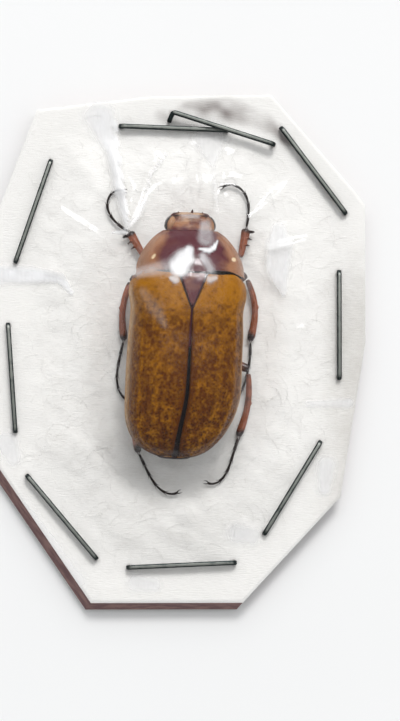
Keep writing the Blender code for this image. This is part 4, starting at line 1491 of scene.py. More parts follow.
@dataclass
class Head(Assembly):
    """The head with its rimmed front plate and three small horns, the eyes, antennae and palps."""

    rows: int = 120
    sides: int = 180
    span: Pair = (9.0, 10.5)
    squareness: Pair = (2.6, 2.2)
    width: Stations = ((10.55, 1.36), (10.4, 1.6), (10.2, 1.74), (9.9, 1.8), (9.5, 1.92), (9.0, 2.05))
    top: Stations = ((10.55, 2.35), (10.0, 2.7), (9.0, 3.2))
    belly: Stations = ((10.55, 1.9), (10.2, 1.45), (9.6, 1.05), (9.0, 1.2))
    eye_place: Place = (1.78, 9.66, 2.2)
    eye_radii: Place = (0.4, 0.62, 0.52)
    horns: tuple[tuple[float, float, float, float], ...] = (  # where each stands, and its size
        (-1.03, 10.36, 2.15, 0.75),
        (0.15, 10.45, 2.25, 1.0),
        (1.03, 10.36, 2.15, 0.7),
    )
    brow_radius: float = 0.30
    brow_out: Stations = ((0, 1.34), (0.35, 1.6), (0.7, 1.74), (1, 1.78))
    brow_up: Stations = ((0, 2.3), (0.35, 2.6), (1, 2.68))
    eye_slant: float = 0.25  # how far the eyes' hind ends stand out, against their length
    rim_line: float = 10.17
    antenna: tuple[Place, ...] = (
        (1.3, 9.95, 0.95),
        (1.6, 9.8, 0.92),
        (1.75, 9.45, 0.85),
        (1.78, 9.05, 0.72),
    )
    club_length: float = 0.75
    palp_radius: float = 0.12
    rim_height: float = 0.10
    plate_depth: float = 0.08
    pit_depth: float = 0.02
    eye_seat: float = 0.04  # how much greater the hollow round an eye is
    palp: tuple[Place, ...] = ((0.5, 9.6, 0.72), (0.6, 9.95, 0.75), (0.7, 10.3, 0.95))

    def capsule(self) -> Piece:
        """Builds the head itself, hollowed for the eyes."""
        y = self.span[0] + (self.span[1] - self.span[0]) * np.linspace(0, 1, self.rows)
        _, across, up = section(self.sides, *self.squareness)
        width, top, belly = (curve_at(s, y)[:, None] for s in (self.width, self.top, self.belly))
        x = width * across
        z = (top + belly) / 2 + (top - belly) / 2 * up
        head = Lattice(np.stack([x, np.broadcast_to(y[:, None], x.shape), z], -1), True)
        upper = ease(0.15, 0.6, up) + 0 * x
        y, aside = y[:, None], np.abs(x)
        ahead = self.rim_line + 0.12 * (1 - (x / 1.5) ** 2)
        from_rim = np.minimum(width - aside - 0.20, ahead - y)
        plate = ease(9.5, 9.8, y) * upper
        height = self.rim_height * hump(from_rim, 0.0, 0.12) * plate
        height -= self.plate_depth * ease(0.10, 0.6, from_rim) * plate
        height += 0.05 * hump(x, 0.0, 0.5) * hump(y, 9.55, 0.35) * upper
        height += lumps(head.points, (0.02, 0.45, 61))
        pits = head.pits(head.scatter(26 * upper + 3, 62), lambda i, j: 0.035 + 0.012 * ((i + j) % 4) / 3)
        head.raise_by(height - self.pit_depth * pits)
        # line: a painted shadow along the raised front rim, strongest towards the sides
        line = hump(from_rim, 0.0, 0.10) * plate * (0.35 + 0.65 * hump(aside, 1.2, 0.42))
        strip = ease(0.0, 0.15, y - ahead) * upper
        corners = 0.65 * hump(aside, 1.4, 0.32) * ease(9.85, 10.2, y) * upper
        shade = 0.42 + 0.35 * ease(9.4, 9.0, y) * ease(1.9, 1.0, aside) + lumps(head.points, (0.4, 0.4, 63))
        pale = 0.22 * hump(x, -0.3, 0.9) * hump(y, 9.95, 0.3) * upper
        head.paint = {
            "shade": shade + 0.5 * strip * hump(aside, 1.3, 0.4),
            "pale": pale + 0.35 * strip * ease(1.5, 0.8, aside),
            "pit": np.maximum.reduce([pits * 0.5, corners, line * 0.9]),
        }
        closed = head.closed((0.05, 0.10), 6)
        for side in Side:
            closed.points = self.socketed(closed.points, side)
        closed.moved(self.stance.front())
        return self.shop.make("head_shell", closed, self.shop.red, "head", crease=60)

    def socketed(self, points: Array, side: Side) -> Array:
        """Presses the head's side in behind one eye, so that the eye sits in it.

        Args:
            points: The head's points.
            side: Which eye.

        Returns:
            The new points.
        """
        middle = self.eye_place * np.array([side.value, 1, 1])
        radii = np.array(self.eye_radii) + self.eye_seat
        slant = side.value * self.eye_slant * (points[:, 1] - middle[1])
        apart = (points - middle + slant[:, None] * [1, 0, 0]) / radii
        within = np.linalg.norm(apart, axis=1) < 1
        flat = np.sqrt(np.maximum(1 - apart[:, 1] ** 2 - apart[:, 2] ** 2, 0))
        points = points.copy()
        points[within, 0] = (middle[0] - side.value * flat * radii[0] - slant)[within]
        return points

    def eye(self, side: Side) -> Piece:
        """Builds one compound eye.

        Args:
            side: Which one.

        Returns:
            The piece.
        """
        middle = self.eye_place * np.array([side.value, 1, 1])
        polar = np.linspace(0.04, np.pi - 0.04, 50)[:, None]
        turn = np.linspace(0, 2 * np.pi, 64, endpoint=False)[None, :]
        ball = [np.sin(polar) * np.cos(turn), np.cos(polar) + 0 * turn, np.sin(polar) * np.sin(turn)]
        points = np.stack(ball, -1) * self.eye_radii + middle
        points[..., 0] -= side.value * self.eye_slant * (points[..., 1] - middle[1])
        lattice = Lattice(points, True)
        lattice.raise_by(lumps(points, (0.006, 0.12, 71)))
        closed = lattice.closed((0.0, 0.0), 3).moved(self.stance.front())
        return self.shop.make(f"eye_{side.word}_ball", closed, self.shop.eye, f"eye_{side.word}")

    def horn(self, place: tuple[float, float, float, float]) -> Surface:
        """One upturned horn of the front rim, darker towards its tip.

        Args:
            place: Where it stands, and its size.

        Returns:
            The horn, closed.
        """
        *foot, size = place
        root = np.array(foot)
        tip = root + np.array([0.0, 0.34, 0.40]) * size
        made = thorn(root - [0, 0.14, 0.1], tip, 0.17 * size, 14, np.array([0, 0.08, -0.05]))
        up = ease(root[2] - 0.1, tip[2], made.points[:, 2])
        made.paint = {"shade": 0.5 + 0.5 * up, "pit": 0.1 + 0.7 * up * size}
        return made.moved(self.stance.front())

    def brow(self, side: Side) -> Surface:
        """The shell that runs back over the top of one eye, and leaves its outer side free.

        Args:
            side: Which eye.

        Returns:
            The brow, closed.
        """
        t = np.linspace(0, 1, 40)
        out = side.value * curve_at(self.brow_out, t)
        route = np.stack([out, 10.12 - 1.0 * t, curve_at(self.brow_up, t)], -1)
        brow = tube(route, self.brow_radius * (0.75 + 0.25 * np.sin(np.pi * t)), 30, 0.72)
        brow.raise_by(lumps(brow.points, (0.015, 0.3, 64)))
        dark = 0.35 + lumps(brow.points, (0.4, 0.4, 63)) + 0.5 * ease(0.2, 0.0, t)[:, None]
        beyond = np.abs(brow.points[..., 0]) - np.abs(out)[:, None]
        rim = ease(self.brow_radius * 0.7, self.brow_radius, beyond)
        brow.paint = {"shade": dark, "pit": 0.5 * rim, "pale": 0.15 * (1 - rim)}
        return brow.closed((0.1, 0.1), 6).moved(self.stance.front())

    def feeler(self, side: Side) -> Piece:
        """Builds one antenna: a stout first joint, small beads, and a club of three leaves.

        Args:
            side: Which one.

        Returns:
            The piece.
        """
        front = self.stance.front()
        knots = self.antenna * np.array([side.value, 1, 1])
        lengths = np.concatenate([[0], np.cumsum(np.linalg.norm(np.diff(knots, axis=0), axis=1))])
        t = np.linspace(0, lengths[-1], 90)
        route = np.stack([np.interp(t, lengths, knots[:, k]) for k in range(3)], -1)
        share, first = t / lengths[-1], 0.28  # the first joint's share of the length
        beads = 0.13 + 0.035 * np.abs(np.sin(np.pi * 7 * np.maximum(share - first, 0) / (1 - first)))
        radii = np.where(share < first, 0.20 - 0.05 * share / first, beads)
        parts = [tube(moved(route, front), radii, 14).closed((0.08, 0.08), 4)]
        for leaf in (-1, 0, 1):
            s = np.linspace(0, 1, 16)
            way = np.array([side.value * 0.02 + leaf * 0.03, -1.0, -0.06 + leaf * 0.02])
            start = knots[-1] + [leaf * 0.12, 0.02, leaf * 0.02]
            blade = start + unit(way) * self.club_length * s[:, None]
            width = 0.085 + 0.07 * np.sin(np.pi * np.clip(s * 0.92 + 0.08, 0, 1))
            parts.append(tube(moved(blade, front), width * 0.62, 14, 2.1).closed((0.03, 0.05), 4))
        node = f"antenna_{side.word}"
        joined = Surface.joined(parts).painted(shade=0.45)
        return self.shop.make(f"{node}_joints", joined, self.shop.limb, node)

    def mouth_feeler(self, side: Side) -> Piece:
        """Builds one palp of three joints.

        Args:
            side: Which one.

        Returns:
            The piece.
        """
        knots = self.palp * np.array([side.value, 1, 1])
        t = np.linspace(0, 1, 50)
        route = np.stack([np.interp(t, (0, 0.5, 1), knots[:, k]) for k in range(3)], -1)
        radii = self.palp_radius * (1 + 0.5 * np.abs(np.sin(np.pi * 3 * t)) ** 0.6)
        joints = tube(moved(route, self.stance.front()), radii, 14).closed((0.08, 0.1), 4).painted(shade=0.35)
        node = f"palp_{side.word}"
        return self.shop.make(f"{node}_joints", joints, self.shop.limb, node)

    def build(self) -> list[Piece]:
        """Builds every piece of the head."""
        pieces = [self.capsule()]
        for word, place in zip(("left", "middle", "right"), self.horns):
            pieces.append(self.shop.make(f"horn_{word}", self.horn(place), self.shop.red))
        for side in Side:
            eye = self.eye(side)
            brow = self.shop.make(f"brow_{side.word}", self.brow(side), self.shop.red, crease=70)
            pieces += [eye, brow, self.feeler(side), self.mouth_feeler(side)]
        return pieces


@dataclass(frozen=True)
class Leg:
    """One leg: its hip in the beetle's frame, and its knee and ankle in the packet's, over the cotton."""

    name: str
    hip: Place
    knee: Pair
    knee_rise: float
    ankle: Pair
    bow: float
    foot_heading: float
    foot_turn: float
    curl_power: float
    toothed: bool = False
    spurs: float = 0.45
    femur_depth: float = 0.8
    foot_length: float = 5.05
    segments: int = 5
    thickest: float = 0.55

    @property
    def side(self) -> Side:
        """Which side it is on."""
        return Side.LEFT if self.name.endswith("left") else Side.RIGHT

    def femur_route(self, stance: Stance, shares: Array) -> Array:
        """Points from the hip to the knee, kept over the cotton."""
        hip = np.array(stance.body() @ Vector(self.hip))
        knee = np.array([*self.knee, stance.bed + self.knee_rise])
        route = hip + (knee - hip) * shares[:, None]
        route[:, 2] = np.maximum(route[:, 2], stance.bed + GAP + self.thickest * self.femur_depth)
        return route

    def hollow(self, stance: Stance) -> Hollow:
        """The space that its femur needs in the belly."""
        route = self.femur_route(stance, np.array([0.0, 0.5, 1.0]))
        away = unit(route[0] - route[2]) * 0.5
        return Hollow(route[0] + away, route[2] - away, self.thickest + 0.05, self.femur_depth + 0.05)

    def femur(self, stance: Stance, shop: Workshop) -> Piece:
        """The thick upper length, with a knob at the knee.

        Args:
            stance: How the beetle lies.
            shop: The finishes, which also make pieces.

        Returns:
            The femur's piece.
        """
        t = gathered(70, 0.5)
        radii = curve_at(((0, 0.3), (0.3, 0.54), (0.65, 0.54), (0.88, 0.38), (0.96, 0.36), (1, 0.30)), t)
        part = tube(self.femur_route(stance, t), radii, 36, self.femur_depth)
        part.raise_by(0.012 * grain(part.points, 0.4, 81))
        dark = ease(0.82, 1.0, t)[:, None] + 0.2 * grain(part.points, 0.6, 82)
        part.paint = {"shade": 0.25 + 0.7 * dark, "hairy": np.full(dark.shape, 0.4)}
        closed = part.closed((0.12, 0.12), 6)
        node = f"leg_{self.name}_femur"
        return shop.make(f"{node}_shell", closed, shop.limb, node)

    def tibia_line(self, stance: Stance, shares: Array) -> tuple[Array, Array, Array]:
        """Points from the knee to the ankle, the way ahead and the way out from the body."""
        knee = np.array([*self.knee, stance.bed + self.knee_rise])
        ankle = np.array([*self.ankle, stance.bed + 0.5])
        run = ankle - knee
        outward = unit(np.cross(run, [0.0, 0.0, 1.0]))
        outward = outward * (1 if outward[0] * knee[0] >= 0 else -1)
        bend = outward * self.bow * np.sin(np.pi * shares)[:, None]
        return knee + run * shares[:, None] + bend, unit(run), outward

    def tibia(self, stance: Stance, shop: Workshop) -> Piece:
        """The lower length: ribbed, darker at its end, with teeth or a tooth and two spurs.

        Args:
            stance: How the beetle lies.
            shop: The finishes, which also make pieces.

        Returns:
            The tibia's piece.
        """
        t = gathered(150, 0.45)
        start = 0.5 / np.linalg.norm(np.subtract(self.ankle, self.knee))
        route, ahead, outward = self.tibia_line(stance, start + (1 - start) * t)
        wide = 0.30 if self.toothed else 0.25
        radii = curve_at(((0, 0.19), (0.10, 0.24), (0.6, wide), (0.94, wide + 0.07), (1, wide)), t)
        sides = 36
        part = tube(route, radii, sides, 0.72 if self.toothed else 0.85)
        angle = np.linspace(0, 2 * np.pi, sides, endpoint=False)[None, :]
        flat = unit(part.points - route[:, None])
        toward = np.maximum((flat * outward).sum(-1), 0)
        height = 0.022 * np.cos(4 * angle) * np.sin(np.pi * t)[:, None] ** 0.5
        teeth = (0.95, 0.70, 0.46) if self.toothed else (0.46,)
        for place in teeth:
            size = 0.34 * (0.75 + 0.5 * place) if self.toothed else 0.10
            lead = np.clip(1 - np.abs(t - place) / (0.06 if self.toothed else 0.05), 0, 1)[:, None]
            height = height + size * lead**1.5 * toward**7
        part.raise_by(height + 0.01 * grain(part.points, 0.25, 83))
        dark = ease(0.80, 1.0, t)[:, None] + 0.6 * ease(0.10, 0.0, t)[:, None]
        dark = dark + np.clip(height / 0.2, 0, 1) * (0.9 if self.toothed else 0.3)
        shade = 0.15 + 0.85 * dark + 0.4 * grain(part.points, 0.5, 84)
        part.paint = {"shade": shade, "hairy": ease(0.15, 0.4, t)[:, None] * np.ones((1, sides))}
        parts = [part.closed((0.08, 0.08), 5)]
        ankle = route[-1]
        for way in (-1, 1):
            lean = ahead * self.spurs - outward * 0.16 * way
            root = ankle - ahead * 0.08 + outward * 0.15 * way + [0, 0, 0.04]
            tip = root + lean * (1.0 if way > 0 else 0.8) + [0, 0, -0.05]
            parts.append(thorn(root, tip, 0.06, 8).painted(shade=0.8))
        node = f"leg_{self.name}_tibia"
        joined = Surface.joined(parts)
        return shop.make(f"{node}_shell", joined, shop.limb, node)

    def foot_route(self, stance: Stance, count: int) -> Array:
        """Points along the foot, by following its heading as it curls.

        Args:
            stance: How the beetle lies.
            count: How many steps it has.

        Returns:
            The points, from the ankle on.
        """
        step = self.foot_length / count
        share = (np.arange(count) + 0.5) / count
        heading = np.radians(self.foot_heading + self.foot_turn * share**self.curl_power)
        moves = np.stack([np.cos(heading), np.sin(heading), 0 * heading], -1) * step
        first = math.radians(self.foot_heading)
        ahead = np.array([math.cos(first), math.sin(first), 0])
        start = np.array([*self.ankle, stance.bed + 0.3]) + 0.3 * ahead
        return np.concatenate([start[None], start + np.cumsum(moves, 0)])

    def foot(self, stance: Stance, shop: Workshop) -> Piece:
        """Five flared joints with small spines, and two hooked claws.

        Args:
            stance: How the beetle lies.
            shop: The finishes, which also make pieces.

        Returns:
            The foot's piece.
        """
        count = 40 * self.segments
        route = self.foot_route(stance, count)
        share = np.arange(count + 1) / count * self.segments
        within = share - np.floor(np.minimum(share, self.segments - 1e-6))
        flare = 0.62 + 0.38 * within**1.4 - 0.45 * ease(0.93, 1.0, within) - 0.25 * ease(0.08, 0.0, within)
        radii = (0.155 - 0.04 * share / self.segments) * np.maximum(flare, 0.3)
        part = tube(route, radii, 20, 0.9)
        part.paint = {"shade": 0.3 + 0.5 * grain(part.points, 0.5, 91)}
        parts = [part.closed((0.05, 0.05), 4)]
        for k in range(1, self.segments):
            at = route[k * 40 - 3]
            ahead = unit(route[k * 40] - at)
            beside = np.cross(ahead, [0, 0, 1.0])
            for way in (-1, 1):
                root = at + beside * way * 0.08
                parts.append(thorn(root, root + ahead * 0.26 + beside * way * 0.14, 0.03, 6))
        end = route[-1]
        ahead = unit(end - route[-8])
        beside = np.cross(ahead, [0, 0, 1.0])
        for way in (-1, 1):
            tip = end + ahead * 0.42 + beside * way * 0.11 + [0, 0, -0.12]
            parts.append(thorn(end - ahead * 0.06, tip, 0.06, 10, beside * way * 0.07 + [0, 0, 0.08]))
        node = f"leg_{self.name}_foot"
        joined = Surface.joined(parts)
        return shop.make(f"{node}_joints", joined, shop.black, node)


LEGS = (
    Leg("front_left", (-0.75, 6.6, 0.8), (-2.9, 7.3), 0.85, (-4.3, 9.7), 0.0, 145, -160, 2.0, True),
    Leg("front_right", (0.75, 6.6, 0.8), (5.05, 7.2), 0.75, (5.65, 10.0), 0.0, 80, 132, 2.1, True),
    Leg("middle_left", (-1.1, 2.6, 0.4), (-4.15, 5.85), 0.75, (-4.82, 0.6), 0.42, 257, 65, 3.2),
    Leg("middle_right", (1.1, 2.6, 0.4), (5.55, 6.1), 0.75, (6.0, 0.56), 0.6, 272, -30, 1.0),
    Leg("hind_left", (-1.2, -0.9, 0.4), (-4.35, -3.6), 1.2, (-3.6, -9.0), 0.1, 295, 92, 3.4),
    Leg("hind_right", (1.2, -0.9, 0.4), (5.75, -1.95), 1.2, (5.0, -7.6), 0.4, 254, -98, 4.2, spurs=1.1),
)


class HairTree(Growth):
    """Grows short hairs over a surface, where its paint says hairy."""

    SIZES = {"Density": 4.0e6, "Length": 0.0003, "Width": 0.00001, "Lean": 0.8, "Seed": 1}
    SCALES = (0.5, 1.3)

    def __init__(self, name: str, material: Material) -> None:
        """Builds the tree.

        Args:
            name: The tree's name.
            material: What its hairs or fibres are made of.
        """
        super().__init__(name, self.SIZES)
        spread, inlet = self.spread(), self.inlet
        vector, wobble = "ShaderNodeVectorMath", self.random((-1, -1, -1), (1, 1, 1))
        lean = self.out(vector, {0: wobble, 3: inlet["Lean"]}, {"operation": "SCALE"})
        way = self.out(vector, {0: spread["Normal"], 1: lean}, {"operation": "ADD"})
        turn = self.out("FunctionNodeAlignRotationToVector", {"Vector": way}, {"axis": "Z"})
        inputs = {"Vertices": 3, "Radius Top": 0.0, "Radius Bottom": inlet["Width"], "Depth": inlet["Length"]}
        cone = self.out("GeometryNodeMeshCone", inputs, {"fill_type": "NONE"})
        self.strew(spread, cone, turn, self.SCALES, material)


# The packet


@dataclass
class PacketShape:
    """The packet's cut outline and its layers' heights."""

    corners: tuple[Pair, ...] = (
        (-15.7, 11.4),
        (-15.7, -10.1),
        (-7.6, -21.95),
        (5.4, -21.95),
        (13.8, -12.9),
        (16.0, 0.4),
        (16.0, 12.3),
        (15.1, 13.5),
        (7.9, 21.8),
        (-2.6, 21.6),
        (-12.3, 20.4),
    )
    border: float = 4.1
    cotton_edge: float = 0.3
    slope: float = 2.0

    def walls(self) -> list[tuple[Array, Array]]:
        """A point on each straight edge, and its outward direction."""
        found = []
        for a, b in zip(self.corners, self.corners[1:] + self.corners[:1]):
            along = unit(np.subtract(b, a))
            found.append((np.array(a), np.array([along[1], -along[0]])))
        return found

    def depth(self, points: Array) -> Array:
        """How far points lie inside the outline."""
        return np.min([(start - points[..., :2]) @ outward for start, outward in self.walls()], axis=0)

    def reach(self, directions: Array) -> Array:
        """How far the outline lies from the origin in each direction."""
        best = np.full(len(directions), np.inf)
        for start, outward in self.walls():
            toward = directions @ outward
            far = (outward @ start) / np.where(toward > 1e-9, toward, 1)
            best = np.where(toward > 1e-9, np.minimum(best, far), best)
        return best

    def discs(self, rings: int, sides: int, pull: float = 0.75) -> Array:
        """Flat points in rings from the outline to near the middle.

        Args:
            rings: How many rings.
            sides: Points in a ring, apart from one more at each corner.
            pull: How much closer the rings lie near the outline.

        Returns:
            x and y in rows and columns.
        """
        corner_angles = [math.atan2(y, x) for x, y in self.corners]
        angles = np.linspace(-np.pi, np.pi, sides, endpoint=False)
        for corner in corner_angles:
            angles[np.abs(angles - corner).argmin()] = corner
        angles = np.sort(angles)
        way = np.stack([np.cos(angles), np.sin(angles)], -1)
        rim = way * self.reach(way)[:, None]
        u = np.linspace(0, 1, rings)
        shares = 1 - (u * (1 - pull * 0.4) + pull * 0.4 * u * u) * 0.985
        return rim[None] * shares[:, None, None]

    def cotton_height(self, points: Array) -> Array:
        """The cotton's smooth upper surface: thin under the staples, thick in the middle."""
        low, high = (corner.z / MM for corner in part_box("packet_cotton"))
        share = ease(self.border - self.slope, self.border + 2 * self.slope, self.depth(points))
        return low + self.cotton_edge + (high - low - self.cotton_edge) * share


def around(grid: Array) -> Array:
    """The mean of each inner place's four neighbours."""
    return (grid[2:, 1:-1] + grid[:-2, 1:-1] + grid[1:-1, 2:] + grid[1:-1, :-2]) / 4


def layered(top: Array, bottom: Array, paint: Paint) -> Surface:
    """Closes two sheets of rings into one flat body: down the top, round the rim and back.

    Args:
        top: The upper points, from the outline inwards.
        bottom: The lower ones, in the same order.
        paint: Values on the upper points.

    Returns:
        A closed surface.
    """
    points = np.concatenate([top[::-1], bottom])
    both = {name: np.concatenate([v[::-1], v * 0]) for name, v in paint.items()}
    return Lattice(points, True, both).closed((0.0, 0.0), 2)


@dataclass
class Layer:
    """A layer of the packet, with what they all need: finishes, outline and the staples' holes."""

    shop: Workshop
    shape: PacketShape
    holes: Array


@dataclass
class Card(Layer):
    """The card, with a slanted brown cut edge."""

    lean: Pair = (-0.45, -0.6)
    lean_span: Pair = (5.0, -5.0)  # the slant grows from the first y to the second
    rings: int = 40
    sides: int = 720

    def build(self) -> Piece:
        """Builds the card."""
        low, high = (corner.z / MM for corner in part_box("packet_card"))
        flat = self.shape.discs(self.rings, self.sides)
        inner = self.shape.depth(flat)
        levels = np.linspace(1, 0, 9)
        tops = np.concatenate([flat, np.full((*flat.shape[:2], 1), high)], -1)
        tops[..., 2] += 0.012 * grain(tops, 0.8, 101) - 0.05 * ease(0.15, 0.0, inner)
        bottoms = tops.copy()
        bottoms[..., 2] = low + 0.01 * grain(tops, 0.8, 102) + 0.04 * ease(0.15, 0.0, inner)
        start, end = self.lean_span
        share = np.clip((start - flat[..., 1]) / (start - end), 0, 1)
        bottoms[..., :2] += share[..., None] * self.lean
        walls = []
        for level in levels[1:-1]:
            wall = tops[0] * level + bottoms[0] * (1 - level)
            out = unit(np.concatenate([flat[0], np.zeros((len(flat[0]), 1))], -1))
            rough = 0.035 * grain(wall * [1, 1, 4], 0.3, 103) + 0.03 * grain(wall, 0.12, 104) - 0.03
            walls.append(wall + out * rough[:, None])
        points = np.concatenate([tops[::-1], walls, bottoms])
        cut = np.concatenate([np.zeros(self.rings), np.ones(len(walls)), np.zeros(self.rings)])
        cut[[self.rings - 1, self.rings + len(walls)]] = 0.6
        lattice = Lattice(points, True, {"cut": np.repeat(cut[:, None], points.shape[1], 1)})
        whole = lattice.closed((0.0, 0.0), 2)
        return self.shop.make("card_backing", whole, self.shop.card, "packet_card", crease=40)


@dataclass(frozen=True)
class Streak:
    """A mark along a bent line: (x, y, half its width) at each bend, and how strong it is."""

    line: tuple[Place, ...]
    strength: float
    soft: float = 0.6  # the share of its half width over which it fades

    def cover(self, flat: Array) -> Array:
        """Its strength on it, fading to 0 beside it.

        Args:
            flat: Places, with x and y in the last axis.

        Returns:
            One value for each place.
        """
        nearest = np.full(flat.shape[:-1], np.inf)
        for (x0, y0, w0), (x1, y1, w1) in zip(self.line, self.line[1:]):
            start, run = np.array([x0, y0]), np.array([x1 - x0, y1 - y0])
            t = np.clip(((flat[..., :2] - start) @ run) / (run @ run), 0, 1)
            apart = np.linalg.norm(flat[..., :2] - start - t[..., None] * run, axis=-1)
            nearest = np.minimum(nearest, apart / (w0 + (w1 - w0) * t))
        return self.strength * ease(1.0 + self.soft / 2, 1.0 - self.soft / 2, nearest)


@dataclass
class Cotton(Layer):
    """The soft layer that the beetle lies on."""

    rings: int = 130
    sides: int = 360
    # Darker streaks on the cotton: the fourth and fifth are painted reflections of the film's creases; the
    # others are darker patches towards the top.
    stains: tuple[Streak, ...] = (
        Streak(((0.6, 20.9, 0.3), (3.8, 20.7, 0.85), (7.2, 19.5, 0.75), (9.6, 17.6, 0.35)), 0.42, 1.2),
        Streak(((-1.6, 19.9, 0.5), (0.9, 18.9, 0.45), (4.4, 18.4, 0.3)), 0.36, 1.4),
        Streak(((0.2, 20.4, 0.5), (2.6, 20.3, 0.75), (5.4, 19.7, 0.6)), 0.3, 1.3),
        Streak(((0.26, 17.5, 0.1), (1.11, 12.4, 0.08)), 0.14, 1.2),
        Streak(((1.63, 15.8, 0.1), (1.63, 11.7, 0.07)), 0.12, 1.2),
        Streak(((8.4, 18.4, 0.4), (11.2, 15.3, 0.45), (13.6, 12.4, 0.4)), 0.30, 1.4),
        Streak(((-0.3, 13.2, 0.35), (1.3, 14.6, 0.2), (1.8, 17.8, 0.35)), 0.10, 1.6),
    )
    # how much darker it is round each staple hole
    hole_stain: float = 0.55
    hole_radius: float = 0.42

    def shading(self, flat: Array) -> Array:
        """How much painted shade it gets: a painted shadow growing towards the tail's left and a little near
        the beetle, less of it on the border, and a darker band along the right border.
        """
        x, y = flat[..., 0], flat[..., 1]
        tail = ease(2.0, -13.0, y + 0.45 * x)
        border = ease(self.shape.border + 1.6, self.shape.border - 1.2, self.shape.depth(flat))
        near = hump(np.hypot(x / 6.2, (y + 0.2) / 12.0), 1.0, 0.28)
        right = ease(10.0, 15.5, x) * ease(12.0, 2.0, y) * border
        return (0.06 + 0.15 * tail + 0.05 * near) * (1 - 0.6 * border) + 0.6 * right

    def build(self) -> Piece:
        """Builds the layer."""
        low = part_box("packet_cotton")[0].z / MM
        flat = self.shape.discs(self.rings, self.sides)
        inner = self.shape.depth(flat)
        top = np.concatenate([flat, self.shape.cotton_height(flat)[..., None]], -1)
        soft = ease(1.0, 5.0, inner)
        wrinkles = 0.10 * grain(top * [1, 0.55, 1], 2.6, 111) + 0.05 * grain(top, 1.1, 112)
        wrinkles = wrinkles + 0.02 * grain(top, 0.35, 113)
        diagonal = flat @ np.array([0.55, 0.84])
        creased = ease(-3.0, -9.0, flat[..., 1]) * soft
        wrinkles = wrinkles + 0.02 * np.sin(diagonal * 3.1 + 2 * grain(top, 3.0, 114)) * creased
        top[..., 2] += wrinkles * (0.15 + 0.85 * soft) - 0.10 * soft - 0.10 * ease(0.2, 0.0, inner)
        bottom = top.copy()
        bottom[..., 2] = low
        from_hole = np.linalg.norm(flat[:, :, None] - self.holes, axis=-1).min(-1)
        stain = self.hole_stain * ease(self.hole_radius, self.hole_radius * 0.3, from_hole)
        darker_streaks = sum(streak.cover(flat) for streak in self.stains)
        stain = np.maximum(stain, darker_streaks * (0.8 + 0.5 * grain(top, 1.0, 115)))
        # shade: the painted shade from shading()
        paint = {"hairy": soft, "stain": stain, "shade": self.shading(flat)}
        coat = self.shop.cotton
        layer = layered(top, bottom, paint).to_object("cotton_pad", coat.material, 60)
        return self.shop.place(layer, coat, "packet_cotton")


class FibreTree(Growth):
    """Strews curved fibres over a surface, where its paint says hairy."""

    SIZES = {"Density": 1.6e6, "Reach": 0.0022, "Width": 0.000007, "Seed": 5}
    SCALES = (0.35, 1.3)
    TILT = 0.15  # how far a fibre may lean, in radians

    def __init__(self, name: str, material: Material) -> None:
        """Builds the tree.

        Args:
            name: The tree's name.
            material: What its hairs or fibres are made of.
        """
        super().__init__(name, self.SIZES)
        spread, inlet = self.spread(), self.inlet
        inputs = {"Resolution": 7, "Start": (-0.5, 0, 0), "Middle": (0.1, 0.45, 0.05), "End": (0.5, -0.1, 0)}
        arc = self.out("GeometryNodeCurveQuadraticBezier", inputs)
        scale = self.out("ShaderNodeCombineXYZ", {axis: inlet["Reach"] for axis in range(3)})
        sized = self.out("GeometryNodeTransform", {"Geometry": arc, "Scale": scale})
        ring = self.out("GeometryNodeCurvePrimitiveCircle", {"Resolution": 3, "Radius": inlet["Width"]})
        thread = self.out("GeometryNodeCurveToMesh", {"Curve": sized, "Profile Curve": ring})
        turn = self.random((-self.TILT, -self.TILT, 0), (self.TILT, self.TILT, 2 * math.pi))
        self.strew(spread, thread, turn, self.SCALES, material)


@dataclass(frozen=True)
class Fold:
    """A crease in the film: a ridge from one place to another, highest near its start."""

    start: Pair
    end: Pair
    height: float
    width: float

    def lift(self, points: Array) -> Array:
        """How far it raises the film."""
        a, b = np.array(self.start), np.array(self.end)
        run = b - a
        t = ((points - a) @ run) / (run @ run)
        beside = np.abs((points - a) @ np.array([-run[1], run[0]])) / np.linalg.norm(run)
        width = self.width * (0.45 + 0.55 * np.clip(1 - t, 0, 1))
        ridge = np.exp(-np.abs(beside / width) ** 1.5)
        return self.height * ridge * ease(-0.06, 0.1, t) * ease(1.05, 0.7, t)


